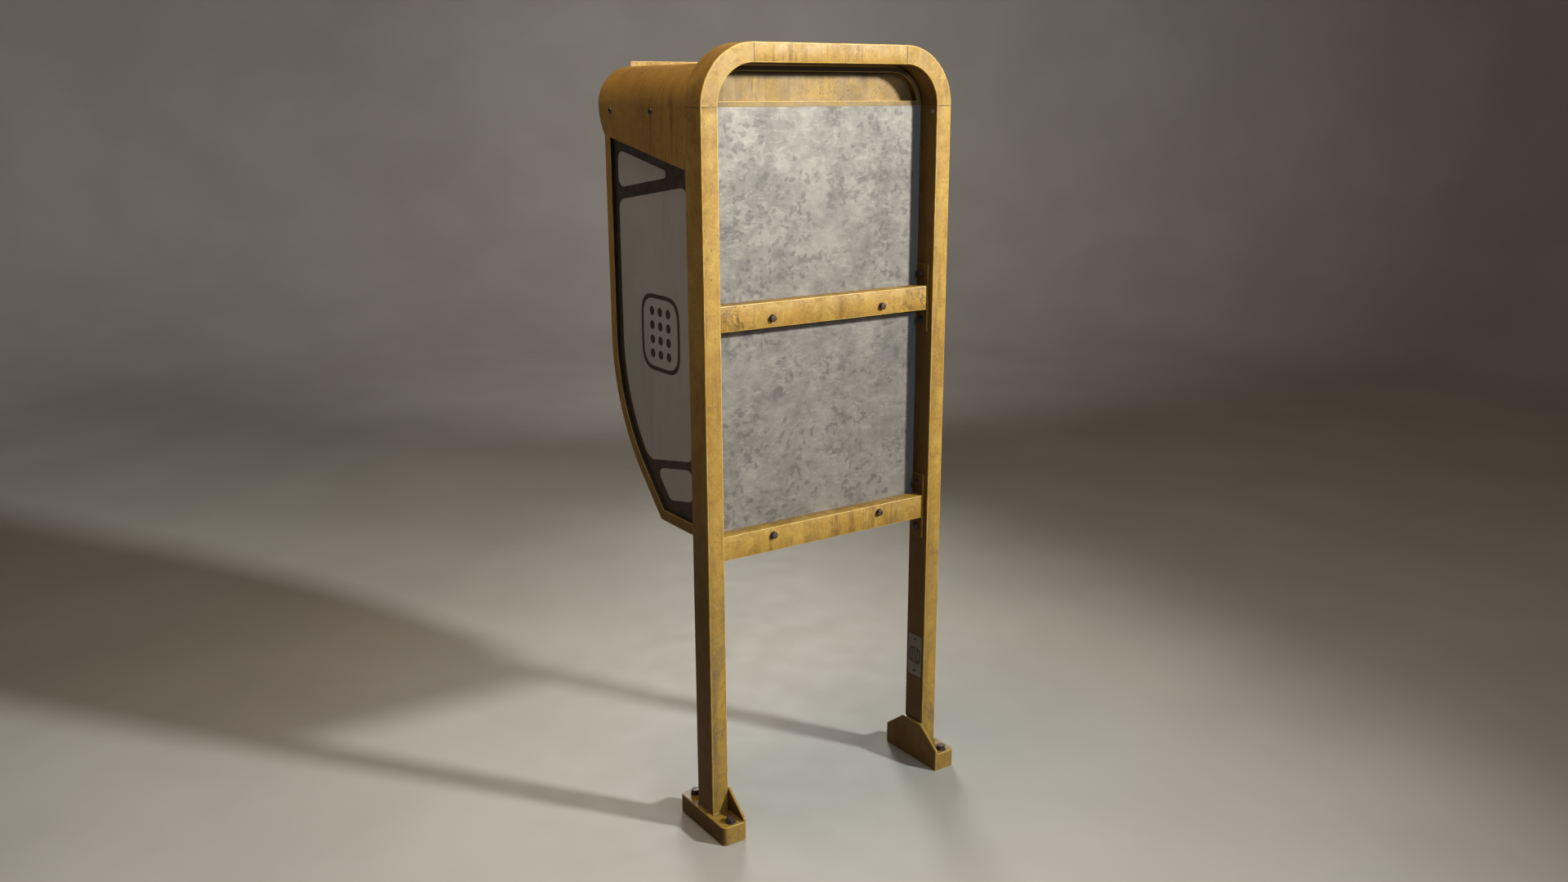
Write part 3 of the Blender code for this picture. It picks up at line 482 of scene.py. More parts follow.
def shaped(node, material, width, edge=PAINT_EDGE, seam=()):
    """A copy of a CAD node with rounded edges in worn paint with a painted highlight, which is
    shown in its place.

    seam gives (axis, value) planes; edges that lie in one are only just broken.
    """
    bm = bmesh.new()
    bm.from_mesh(NODES[node].data)
    bmesh.ops.remove_doubles(bm, verts=bm.verts[:], dist=2e-6)
    bmesh.ops.dissolve_limit(bm, angle_limit=radians(0.4), verts=bm.verts[:],
                             edges=bm.edges[:])
    weight = bm.edges.layers.float.new("bevel_weight_edge")
    for side in bm.edges:
        if side.is_manifold and side.calc_face_angle() > radians(40):
            flat = any(all(abs(v.co[axis] - value) < 1e-3 for v in side.verts)
                       for axis, value in seam)
            side[weight] = 0.25 if flat else 1.0
    for face in bm.faces:
        face.material_index = 1 if narrow(face, 0.003) else 0
    mesh = bpy.data.meshes.new(node + "_look")
    bm.to_mesh(mesh)
    bm.free()
    for attribute in ("custom_normal", "sharp_edge", "sharp_face"):
        if attribute in mesh.attributes:
            mesh.attributes.remove(mesh.attributes[attribute])
    soften(mesh)
    mesh.materials.append(material)
    mesh.materials.append(edge)
    look = piece(node + "_look", mesh, None, slot_of(material), NODES[node]["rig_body"])
    bevel = look.modifiers.new("worn_and_highlit_edges", "BEVEL")
    bevel.limit_method = "WEIGHT"
    bevel.width = width
    bevel.segments = 3
    bevel.material = 1
    bevel.harden_normals = True
    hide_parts(node)
    return look


def dress(node, material):
    """A CAD node keeps its shape and takes a better material."""
    thing = NODES[node]
    for slot in thing.material_slots:
        slot.link = "OBJECT"
        slot.material = material


def curve_mesh(curve):
    """The mesh of a curve or a text, which is then removed."""
    holder = shown(curve.name, curve)
    bpy.context.view_layer.update()
    mesh = bpy.data.meshes.new_from_object(
        holder.evaluated_get(bpy.context.evaluated_depsgraph_get()))
    bpy.data.objects.remove(holder)
    bpy.data.curves.remove(curve)
    return mesh


def flat_shape(name, loops, thickness, matrix):
    """A thin plate with holes: loops are (u, v) outlines, laid out by matrix."""
    curve = bpy.data.curves.new(name, "CURVE")
    curve.dimensions = "2D"
    curve.fill_mode = "BOTH"
    curve.extrude = thickness / 2
    for loop in loops:
        spline = curve.splines.new("POLY")
        spline.points.add(len(loop) - 1)
        for point, (u, v) in zip(spline.points, loop):
            point.co = (u, v, 0.0, 1.0)
        spline.use_cyclic_u = True
    mesh = curve_mesh(curve)
    mesh.transform(matrix)
    bm = bmesh.new()
    bm.from_mesh(mesh)
    bmesh.ops.remove_doubles(bm, verts=bm.verts[:], dist=1e-6)
    bpy.data.meshes.remove(mesh)
    return from_bmesh(bm, name, smooth=False)


def softened(points, radius):
    """The same outline with each corner replaced by an arc-like curve."""
    steps = 5
    result = []
    count = len(points)
    for index, corner in enumerate(points):
        here = Vector(corner)
        before = Vector(points[index - 1]) - here
        after = Vector(points[(index + 1) % count]) - here
        turn = pi - before.angle(after)
        if turn < radians(20):
            result.append(tuple(here))
            continue
        reach = min(radius * tan(turn / 2), before.length * 0.45, after.length * 0.45)
        start = here + before.normalized() * reach
        end = here + after.normalized() * reach
        for step in range(steps + 1):
            t = step / steps
            result.append(tuple(start * (1 - t) ** 2 + here * 2 * t * (1 - t) + end * t ** 2))
    return result


def circle(centre, radius, steps=24):
    return [(centre[0] + radius * cos(2 * pi * i / steps),
             centre[1] + radius * sin(2 * pi * i / steps)) for i in range(steps)]


def box_loop(u_range, v_range, radius=0.0):
    (a, b), (c, d) = u_range, v_range
    corners = [(a, c), (b, c), (b, d), (a, d)]
    return softened(corners, radius) if radius else corners


def ring(bm, radii, height):
    """Vertices about Z at one height, one for each radius."""
    turns = [2 * pi * i / len(radii) for i in range(len(radii))]
    return [bm.verts.new((r * cos(a), r * sin(a), height)) for r, a in zip(radii, turns)]


def wrap(bm, rings):
    """Faces between neighbouring rings; a ring of one vertex is a tip."""
    for low, high in zip(rings, rings[1:]):
        steps = max(len(low), len(high))
        for i in range(steps):
            j = (i + 1) % steps
            if len(low) == 1:
                bm.faces.new((low[0], high[i], high[j]))
            elif len(high) == 1:
                bm.faces.new((low[i], low[j], high[0]))
            else:
                bm.faces.new((low[i], low[j], high[j], high[i]))


def turned(name, profile, steps):
    """A solid of revolution about Z from (radius, height) points, closed at both ends."""
    bm = bmesh.new()
    wrap(bm, [ring(bm, [r] * (1 if r < 1e-6 else steps), height) for r, height in profile])
    return from_bmesh(bm, name)


def facing(place, direction, spin=0.0):
    """Puts a shape that stands up along Z at place, with its top towards direction."""
    turn = Vector(direction).to_track_quat("Z", "Y").to_matrix().to_4x4()
    return Matrix.Translation(place) @ turn @ Matrix.Rotation(spin, 4, "Z")


def spun(name, profile, steps, place, direction, material, slot=None, body="stand"):
    """A turned piece that stands at place, with its top towards direction."""
    mesh = turned(name, profile, steps)
    mesh.transform(facing(place, direction))
    return piece(name, mesh, material, slot, body)


def hex_bolt(name, place, direction, across, head, spin):
    """A hex head with a turned chamfer, on a washer."""
    washer_steps, steps = 28, 36
    radius = across / sqrt(3)
    apothem = radius * cos(pi / 6)
    flat = [apothem / cos((2 * pi * i / steps) % (pi / 3) - pi / 6) for i in range(steps)]
    bm = bmesh.new()
    washer = [ring(bm, [radius * share] * washer_steps, z)
              for share, z in ((1.04, 0.0), (1.07, WASHER * 0.5), (1.02, WASHER))]
    # each level of the head is cut to limit * apothem, which turns its upper corners
    levels = [ring(bm, [min(r, apothem * limit) for r in flat], WASHER + head * share)
              for share, limit in ((0.0, 9), (0.80, 9), (0.93, 1.075), (1.0, 0.98))]
    for rings in (washer, levels):
        wrap(bm, rings)
        bm.faces.new(rings[0][::-1])
        bm.faces.new(rings[-1])
    mesh = from_bmesh(bm, name)
    mesh.transform(facing(place, direction, spin))
    return piece(name, mesh, RUST)


def bead(name, path, radius, material):
    """A weld bead: a round tube along the path, a little uneven."""
    curve = bpy.data.curves.new(name, "CURVE")
    curve.dimensions = "3D"
    curve.bevel_depth = radius
    curve.bevel_resolution = 3
    curve.use_fill_caps = True
    spline = curve.splines.new("POLY")
    points = []
    for a, b in zip(path, path[1:]):
        a, b = Vector(a), Vector(b)
        count = max(1, round((b - a).length / (radius * 1.6)))
        points += [a.lerp(b, i / count) for i in range(count)]
    points.append(Vector(path[-1]))
    spline.points.add(len(points) - 1)
    for index, (point, place) in enumerate(zip(spline.points, points)):
        point.co = (*place, 1.0)
        point.radius = 1.0 + 0.14 * sin(index * 2.3) + 0.06 * sin(index * 0.9)
    mesh = curve_mesh(curve)
    soften(mesh, angle=60)
    return piece(name, mesh, material)


def lettering(name, text, size, place, material, body, slot):
    """A flat numeral or sign, 0.2 mm thick, that faces the user."""
    curve = bpy.data.curves.new(name, "FONT")
    curve.body = text
    curve.size = size
    curve.extrude = 0.0001
    curve.align_x = "CENTER"
    curve.align_y = "CENTER"
    mesh = curve_mesh(curve)
    mesh.transform(Matrix.Translation(place) @ Matrix.Rotation(pi / 2, 4, "X"))
    return piece(name, mesh, material, slot, body)


# ---------------- steel frame

def make_frame():
    seams = ((2, SEAM_Z), (0, SEAM_X), (0, -SEAM_X))
    for side in ("left", "right"):
        shaped(f"post_{side}", PAINT_POST, 0.0006, seam=seams)
        shaped(f"arch_elbow_{side}", PAINT_ARCH, 0.0028, seam=seams)
        shaped(f"foot_{side}", PAINT_FOOT, 0.0030)
        shaped(f"side_trim_{side}", PAINT, 0.0007)
    shaped("arch_top_rail", PAINT_TOP, 0.0006, seam=seams)
    for level in ("middle", "lower"):
        shaped(f"rail_{level}", PAINT_RAIL, 0.0009)
    shaped("hood_shell", PAINT_HOOD, 0.0007)
    shaped("hood_back_tray", PAINT_TRAY, 0.0010)
    shaped("hood_front_panel", PAINT, 0.0006)
    shaped("sign_plate", PAINT, 0.0010)
    shaped("shelf", PAINT, 0.0010)
    dress("back_panel", ZINC)


make_frame()
for node in sorted(NODES):
    if not NODES[node].hide_render:
        slot_name = NODES[node].material_slots[0].material.name.split(".")[0]
        dress(node, LOOKS.get(slot_name, PAINT))


# ---------------- side panels

TRIM_FRONT = REAR_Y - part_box("side_trim_right")[0].y
TRIM_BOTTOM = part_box("side_trim_right")[0].z
PANEL_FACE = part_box("side_panel_right")[1].x
TRIM_WIDTH = 0.030
ARC_Z, ARC_R = 1.345, 0.540  # where the trim starts to curve, and its radius
HOOD_SLOPE = 0.1776  # the skirt's lower edge, rise per metre forward
HOOD_REAR_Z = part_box("hood_shell")[0].z
BORDER = 0.025  # printed border inside the trim
PRINT_SHEET = 0.0002


def hood_edge(forward):
    return HOOD_REAR_Z + HOOD_SLOPE * (forward - POST_DEPTH)


def trim_path(inset, low):
    """The trim's outline shrunk by inset, from the height low round to 45 degrees."""
    steps = 12
    radius = ARC_R - inset
    centre = TRIM_FRONT - ARC_R
    path = [(centre + radius, low)] if low > ARC_Z else []
    return path + [(centre + radius * cos(radians(45 * i / steps)),
                    ARC_Z - radius * sin(radians(45 * i / steps))) for i in range(steps + 1)]


def window_outlines():
    """The three clear windows of the printed side panel, (forward, z)."""
    inset = TRIM_WIDTH + BORDER
    front = TRIM_FRONT - inset
    rear = POST_DEPTH + 0.010
    under_hood = 0.027
    bar, bar_slope = 0.0325, -0.142  # sloping bar below the top window
    low_bar, low_slope = 0.023, -0.180  # bar over the bottom window
    bar_z = 1.7380  # bar's middle line at the front border

    def on_bar(forward, offset):
        return bar_z + bar_slope * (forward - front) + offset

    tail = 0.200  # rear end of the top window
    top = [(front, hood_edge(front) - under_hood), (tail, hood_edge(tail) - under_hood),
           (tail, on_bar(tail, bar / 2)), (front, on_bar(front, bar / 2))]
    curve = trim_path(inset, 1.40)
    end = curve[-1]
    low_z = end[1] + 0.010  # the lower bar's upper edge, at the curve's end

    def on_low(forward, offset):
        return low_z + low_slope * (forward - end[0]) + offset

    while curve[-1][1] < on_low(curve[-1][0], 0.0):
        curve.pop()
    main = ([(rear, on_bar(rear, -bar / 2)), (front, on_bar(front, -bar / 2))] + curve
            + [(end[0] - 0.008, on_low(end[0] - 0.008, 0.0)), (rear, on_low(rear, 0.0))])
    floor = TRIM_BOTTOM + TRIM_WIDTH + BORDER + 0.004
    start = (end[0] - 0.030, on_low(end[0] - 0.030, -low_bar))
    base = start[1] - (floor + 0.004)
    foot = [(rear, on_low(rear, -low_bar)), start, (start[0] - base, start[1] - base),
            (rear, start[1] - base - low_slope * 0.13)]
    return [softened(loop, 0.030) for loop in (top, main, foot)]


def keypad_mark(centre, size, weight):
    """A generic keypad: a rounded frame round three columns and four rows of dots."""
    u, v = centre
    half = size / 2
    line = size * 0.055 * weight
    frame_loops = [box_loop((u - half, u + half), (v - half, v + half), size * 0.30),
                   box_loop((u - half + line, u + half - line),
                            (v - half + line, v + half - line), size * 0.26)]
    dots = [circle((u + column * size * 0.21, v + (row - 1.5) * size * 0.185),
                   min(size * 0.060 * weight, size * 0.084))
            for column in (-1, 0, 1) for row in range(4)]
    return frame_loops, dots


def print_mark(template, centre, size, lay, slot, weight=1.0):
    """A keypad mark in print: its frame and its dots, laid out by the matrix lay."""
    for part, loops in zip(("frame", "dots"), keypad_mark(centre, size, weight)):
        name = template.format(part)
        piece(name, flat_shape(name, loops, PRINT_SHEET, lay), PRINT, slot)


def on_side(sign, level):
    """Lays a (forward, z) outline on a vertical plane at X = sign * level."""
    return Matrix(((0, 0, sign, sign * level), (-1, 0, 0, REAR_Y), (0, 1, 0, 0), (0, 0, 0, 1)))


def make_prints():
    """The dark border printed on both faces of each side panel, and the mark outside."""
    inset = TRIM_WIDTH - 0.002
    sheet = 0.004
    path = trim_path(inset, 1.40)
    last = path[-1]
    floor = TRIM_BOTTOM + inset
    rear = POST_DEPTH + 0.0006
    outline = ([(rear, hood_edge(rear) + 0.030), (path[0][0], hood_edge(path[0][0]) + 0.030)]
               + path + [(last[0] - (last[1] - floor), floor), (rear, floor)])
    for side, sign in SIDES:
        for face, level in (("outside", PANEL_FACE + PRINT_SHEET / 2),
                            ("inside", PANEL_FACE - sheet - PRINT_SHEET / 2)):
            name = f"print_{side}_{face}"
            mesh = flat_shape(name, [outline] + window_outlines(), PRINT_SHEET,
                              on_side(sign, level))
            piece(name, mesh, PRINT, "frosted_panel")
        print_mark("mark_{}_" + side, (0.2500, 1.377), 0.210,
                   on_side(sign, PANEL_FACE + PRINT_SHEET / 2), "frosted_panel")


# ---------------- bolts and screws

def cap_screw(name, place, direction, radius, material, slot=None, body="stand"):
    """A domed screw head with a round socket."""
    socket = radius * 0.45
    profile = [(0.0, radius * 0.25), (socket, radius * 0.25), (socket, radius * 0.58),
               (radius * 0.62, radius * 0.58), (radius * 0.85, radius * 0.46),
               (radius * 0.98, radius * 0.22), (radius, 0.0), (0.0, 0.0)]
    return spun(name, profile[::-1], 24, place, direction, material, slot, body)


def cap_screws(name, places, *rest):
    """One screw at each place, numbered from 1."""
    for index, place in enumerate(places):
        cap_screw(f"{name}_{index + 1}", place, *rest)


def make_fasteners():
    for level in ("middle", "lower"):
        low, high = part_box(f"rail_{level}")
        middle = (low.z + high.z) / 2
        for side, sign in SIDES:
            for end, up in (("upper", 0.0665), ("lower", -0.0670)):
                hex_bolt(f"plate_bolt_{level}_{side}_{end}",
                         (sign * (high.x - 0.0050), fwd(0.0437), middle + up), (-sign, 0, 0),
                         0.017, 0.0070, 0.3 + up * 7)
            run = [(sign * (high.x - 0.0062), fwd(0.0178), middle + z) for z in (-0.031, 0.031)]
            bead(f"rail_weld_{level}_{side}", run, 0.0016, PAINT_RAIL)
    for node in sorted(NODES):  # the CAD's hexagons gain turned chamfers
        if node.startswith(("anchor_bolt", "panel_bolt")):
            low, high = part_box(node)
            size = high - low
            centre = (low + high) / 2
            upright = node.startswith("anchor")
            across = (size.x if upright else size.z) / (1.06 * 2) * sqrt(3)
            place = ((centre.x, centre.y, low.z) if upright
                     else (centre.x, low.y, centre.z))
            direction = (0, 0, 1) if upright else (0, 1, 0)
            head = (size.z if upright else size.y) - WASHER
            bolt = hex_bolt(node + "_look", place, direction, across, head,
                            0.35 + centre.x * 1.7)
            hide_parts(node)
    for side, sign in SIDES:
        places = [(sign * (HALF - 0.0005), fwd(forward), z)
                  for forward, z in ((0.4824, 1.960), (0.2543, 1.9585))]
        cap_screws(f"hood_screw_{side}", places, (sign, 0, 0), 0.0082, DARK_STEEL, "rusty_bolt")
        cap_screw(f"elbow_screw_{side}", (sign * (INNER + 0.0002), fwd(0.0203), 1.9559),
                  (-sign, 0, 0), 0.0062, PALE_STEEL, "rusty_bolt")


def make_post_plate():
    """The plate on the left post: a keypad mark and two rivets."""
    low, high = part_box("post_plate")
    shaped("post_plate", LABEL, 0.0005, LABEL)
    face = -high.x
    u = REAR_Y - (low.y + high.y) / 2
    v = (low.z + high.z) / 2
    print_mark("plate_mark_{}", (u, v), 0.052, on_side(-1, face - PRINT_SHEET / 2), "", 2.1)
    places = [(high.x - 0.0002, fwd(u), v + up) for up in (0.052, -0.052)]
    cap_screws("plate_rivet", places, (1, 0, 0), 0.0040, DARK_STEEL, "label")


def make_welds():
    """Beads where the posts stand on their feet."""
    for side, sign in SIDES:
        z = POST_LOW.z + 0.0005
        out, inn = sign * (HALF + 0.0002), sign * (INNER + 0.001)
        rear, front = REAR_Y + 0.0002, REAR_Y - POST_DEPTH - 0.0002
        bead(f"foot_weld_{side}", [(inn, rear, z), (out, rear, z), (out, front, z),
                                   (inn, front, z)], 0.0022, PAINT_FOOT)


# ---------------- telephone

FACE_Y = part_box("vault_door")[0].y + 0.003  # plane of the steel front plate
OUTWARD = (0, -1, 0)


def on_front(level):
    """Lays an (x, z) outline on a vertical plane at Y = level, facing the user."""
    return Matrix(((1, 0, 0, 0), (0, 0, -1, level), (0, 1, 0, 0), (0, 0, 0, 1)))


def plate(name, loops, thickness, material, slot=None, face=None, body="stand", soft=True):
    """A flat piece on the telephone's front, with its rear on the plane at face.

    Its edges are broken unless soft is False, for holes too close together for that.
    """
    face = FACE_Y if face is None else face
    mesh = flat_shape(name, loops, thickness, on_front(face - thickness / 2))
    thing = piece(name, mesh, material, slot, body)
    if soft:
        bevel = thing.modifiers.new("soft_edge", "BEVEL")
        bevel.width = thickness * 0.3
        bevel.segments = 2
        bevel.limit_method = "ANGLE"
        bevel.angle_limit = radians(60)
    return thing


def around(node, margin, radius):
    """A rounded (x, z) outline round a node's front."""
    low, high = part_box(node)
    return box_loop((low.x - margin, high.x + margin), (low.z - margin, high.z + margin),
                    radius)


def make_phone_case():
    for node, material, width in (
            ("phone_housing", ENAMEL, 0.0008),
            ("vault_door", ENAMEL, 0.0008),
            ("phone_front_plate", STEEL, 0.0006),
            ("phone_backplate", STEEL, 0.0008),
            ("coin_slot_plate", KEY_STEEL, 0.0007),
            ("coin_return_flap", KEY_STEEL, 0.0005),
            ("hook_lever", KEY_STEEL, 0.0009),
            ("vault_lock", KEY_STEEL, 0.0006),
            ("card_reader", BLACK, 0.0008),
            ("handset_cradle", BLACK, 0.0016),
            ("hood_lamp", OPAL, 0.0015)):
        shaped(node, material, width, material)
    low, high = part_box("phone_front_plate")
    places = [(x * (high.x - 0.0070), FACE_Y, z)
              for z in (low.z + 0.0095, high.z - 0.0095) for x in (-1, 1)]
    cap_screws("face_screw", places, OUTWARD, 0.0038, KEY_STEEL)
    low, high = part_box("phone_housing")
    for side, sign in SIDES[::-1]:
        places = [(sign * high.x, (low.y + high.y) / 2, z) for z in (1.125, 1.320, 1.515)]
        cap_screws(f"case_screw_{side}", places, (sign, 0, 0), 0.0045, KEY_STEEL)


def make_keypad():
    keys = sorted(node for node in NODES if node.startswith("key_"))
    columns = [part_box(key)[0].x for key in keys]
    rows = [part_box(key)[0].z for key in keys]
    low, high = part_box(keys[0])
    wide, tall = high.x - low.x, high.z - low.z
    frame_loop = box_loop((min(columns) - 0.006, max(columns) + wide + 0.006),
                          (min(rows) - 0.006, max(rows) + tall + 0.006), 0.005)
    plate("keypad_surround", [frame_loop] + [around(key, 0.0005, 0.0016) for key in keys],
          0.0012, BLACK, soft=False)
    signs = {"star": "*", "hash": "#"}
    for key in keys:
        shaped(key, KEY_STEEL, 0.0009, KEY_STEEL)
        low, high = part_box(key)
        sign = key.split("_")[1]
        drop = 0.0024 if sign == "star" else 0.0
        lettering(f"sign_{sign}", signs.get(sign, sign), 0.0135,
                  ((low.x + high.x) / 2, low.y, (low.z + high.z) / 2 - drop), INK,
                  NODES[key]["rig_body"], "key_metal")


def make_front_fittings():
    low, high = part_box("display_window")
    plate("display_bezel", [around("display_window", 0.0060, 0.004),
                            around("display_window", 0.0004, 0.0008)], 0.0018, BLACK)
    lettering("display_digits", "0:00", 0.022, (high.x - 0.026, low.y, (low.z + high.z) / 2),
              SIGNAL, "stand", "display")
    bars = [box_loop((low.x + 0.008 + i * 0.0065, low.x + 0.0125 + i * 0.0065),
                     (high.z - 0.013, high.z - 0.013 + 0.002 + 0.0016 * i)) for i in range(4)]
    for index, bar in enumerate(bars):
        plate(f"display_bar_{index + 1}", [bar], 0.0002, SIGNAL, "display", low.y)
    low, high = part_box("coin_slot_plate")
    middle = (low.x + high.x) / 2
    places = [(middle, low.y, z) for z in (low.z + 0.0085, high.z - 0.0075)]
    cap_screws("slot_screw", places, OUTWARD, 0.0026, KEY_STEEL)
    for index, step in enumerate((0.0105, 0.0070)):  # a coin's outline beside the slot
        centre = (low.x - 0.0155, (low.z + high.z) / 2)
        plate(f"coin_sign_{index + 1}", [circle(centre, step), circle(centre, step - 0.0009)],
              0.0002, INK, "black_plastic")
    low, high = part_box("card_reader")
    middle = (low.x + high.x) / 2
    plate("card_arrow", [[(middle - 0.005, high.z + 0.0095), (middle + 0.005, high.z + 0.0095),
                          (middle, high.z + 0.0035)]], 0.0002, INK, "black_plastic")
    spun("card_light", [(0.0, 0.0), (0.0022, 0.0), (0.0020, 0.0010), (0.0012, 0.0018),
                        (0.0, 0.0021)], 20,
         (high.x + 0.009, FACE_Y, (low.z + high.z) / 2), OUTWARD, GREEN, "display")
    low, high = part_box("coin_return_flap")
    plate("return_cup_rim", [around("coin_return_flap", 0.0045, 0.003),
                             around("coin_return_flap", 0.0012, 0.0008)], 0.0018, KEY_STEEL)
    for index in range(3):  # finger ridges on the flap
        z = low.z + 0.010 + index * 0.008
        ridge = box_loop((low.x + 0.008, high.x - 0.008), (z, z + 0.0022), 0.001)
        plate(f"flap_ridge_{index + 1}", [ridge], 0.0009, KEY_STEEL, face=low.y,
              body="return_flap")


def make_volume_button():
    low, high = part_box("volume_button")
    radius = (high.x - low.x) / 2
    tall = high.y - low.y
    centre = (low + high) / 2
    profile = [(0.0, 0.0), (radius, 0.0), (radius, tall - 0.0012),
               (radius - 0.0004, tall - 0.0004), (radius - 0.0012, tall), (radius * 0.72, tall),
               (radius * 0.60, tall - 0.0007), (0.0, tall - 0.0010)]
    cap = spun("volume_button_look", profile, 40, (centre.x, high.y, centre.z), OUTWARD,
               KEY_STEEL, body="volume")
    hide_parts("volume_button")
    for index in range(4):  # rising bars: louder
        x = centre.x - 0.0075 + index * 0.0042
        bar = box_loop((x, x + 0.0026), (high.z + 0.005, high.z + 0.0072 + index * 0.0017))
        plate(f"volume_bar_{index + 1}", [bar], 0.0002, INK, "black_plastic")


def make_vault_details():
    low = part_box("vault_door")[0]
    centre = (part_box("vault_lock")[0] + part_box("vault_lock")[1]) / 2
    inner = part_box("vault_lock")[1].x + 0.0008
    profile = [(inner, 0.0), (inner + 0.0070, 0.0), (inner + 0.0066, 0.0010),
               (inner + 0.0050, 0.0021), (inner + 0.0012, 0.0024), (inner, 0.0018), (inner, 0.0)]
    spun("lock_ring", profile, 48, (centre.x, low.y, centre.z), OUTWARD, KEY_STEEL,
         body="vault")
    for side, x in (("left", -0.112), ("right", 0.112)):
        cap_screw(f"vault_stud_{side}", (x, low.y, centre.z), OUTWARD, 0.0075, KEY_STEEL,
                  body="vault")


def section(half_wide, half_deep):
    """A rounded, slightly square section for a moulded grip."""
    power, steps = 2.6, 20  # a power of 2 is an ellipse, a higher one is squarer
    points = []
    for i in range(steps):
        c, s = cos(2 * pi * i / steps), sin(2 * pi * i / steps)
        points.append((half_wide * abs(c) ** (2 / power) * (1 if c >= 0 else -1),
                       half_deep * abs(s) ** (2 / power) * (1 if s >= 0 else -1)))
    return points


def make_handset():
    """One moulded body: a lofted grip that flows into an ear cup and a mouth cup."""
    low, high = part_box("handset")
    x = (low.x + high.x) / 2
    radius = (high.x - low.x) / 2
    ear_z = high.z - 0.036
    mouth_z = ear_z - 0.194
    cup_face = high.y
    stations = ((1.2700, 0.2500, 0.0080, 0.0060), (1.2740, 0.2530, 0.0122, 0.0100),
                (1.2860, 0.2545, 0.0152, 0.0125), (1.3060, 0.2555, 0.0160, 0.0135),
                (1.3350, 0.2595, 0.0138, 0.0115), (1.3700, 0.2612, 0.0131, 0.0104),
                (1.4040, 0.2615, 0.0130, 0.0102), (1.4400, 0.2612, 0.0130, 0.0104),
                (1.4720, 0.2595, 0.0132, 0.0115), (1.5000, 0.2555, 0.0160, 0.0135),
                (1.5200, 0.2545, 0.0152, 0.0125), (1.5310, 0.2530, 0.0122, 0.0100),
                (1.5350, 0.2500, 0.0080, 0.0060))
    bm = bmesh.new()
    rings = [[bm.verts.new((x + u, fwd(middle) - v, z)) for u, v in section(wide, deep)]
             for z, middle, wide, deep in stations]
    wrap(bm, rings)
    bm.faces.new(rings[0])
    bm.faces.new(rings[-1])
    cup = [(radius * r, h) for r, h in ((0.0, 0.0), (0.80, 0.0), (0.93, 0.0008), (0.995, 0.004),
                                        (1.0, 0.008), (0.97, 0.014), (0.86, 0.021),
                                        (0.66, 0.029), (0.46, 0.036), (0.0, 0.038))]
    for z in (ear_z, mouth_z):
        mesh = turned("cup", cup, 40)
        mesh.transform(facing((x, cup_face, z), OUTWARD))
        bm.from_mesh(mesh)
        bpy.data.meshes.remove(mesh)
    mesh = from_bmesh(bm, "handset_look")
    look = piece("handset_look", mesh, BLACK, body="handset")
    fuse = look.modifiers.new("fuse", "REMESH")
    fuse.mode = "VOXEL"
    fuse.voxel_size = 0.0015
    fuse.use_smooth_shade = True
    relax = look.modifiers.new("relax", "SMOOTH")
    relax.factor = 0.6
    relax.iterations = 9
    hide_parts("handset")
    hole = 0.0013  # radius of a hole in the grilles
    for name, z in (("ear", ear_z), ("mouth", mouth_z)):
        loops = [circle((x, z), 0.0185, 48), circle((x, z), hole, 10)]
        for reach, count in ((0.0052, 6), (0.0100, 12)):
            loops += [circle(place, hole, 10) for place in circle((x, z), reach, count)]
        mesh = flat_shape(f"{name}_grille", loops, 0.0008, on_front(cup_face + 0.0003))
        piece(f"{name}_grille", mesh, BLACK, body="handset")
        mesh = flat_shape(f"{name}_gauze", [circle((x, z), 0.0140, 32)], 0.0002,
                          on_front(cup_face - 0.0004))
        piece(f"{name}_gauze", mesh, RUBBER, body="handset")
        spun(f"{name}_rim", [(0.0186, -0.0006), (0.0205, -0.0006), (0.0209, 0.0003),
                             (0.0202, 0.0010), (0.0190, 0.0008), (0.0186, -0.0006)], 48,
             (x, cup_face, z), (0, 1, 0), BLACK, body="handset")
    profile = [(0.0, 0.0)]
    for i in range(6):  # a ribbed, tapered sleeve where a cord would enter
        r = 0.0064 - 0.0003 * i
        h = i * 0.0026
        profile += [(r, h), (r, h + 0.0015), (r - 0.0011, h + 0.0018), (r - 0.0011, h + 0.0026)]
    profile.append((0.0, 0.0156))
    spun("handset_sleeve", profile, 24, (x, fwd(0.2520), 1.2735), (0, 0, -1), RUBBER,
         body="handset")


def make_gland():
    """The cord gland: a flange and a stepped collar round a blind bore."""
    low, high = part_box("cord_gland")
    centre = (low + high) / 2
    radius = (high.x - low.x) / 2
    bore = 0.0048
    profile = [(0.0, 0.0), (radius, 0.0), (radius, 0.0026), (radius * 0.93, 0.0034),
               (radius * 0.72, 0.0036), (radius * 0.72, 0.0090), (radius * 0.66, 0.0106),
               (radius * 0.55, 0.0119), (bore, 0.0119), (bore, 0.0005), (0.0, 0.0005)]
    collar = spun("cord_gland_look", profile, 36, (centre.x, high.y, centre.z), OUTWARD,
                  KEY_STEEL)
    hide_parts("cord_gland")


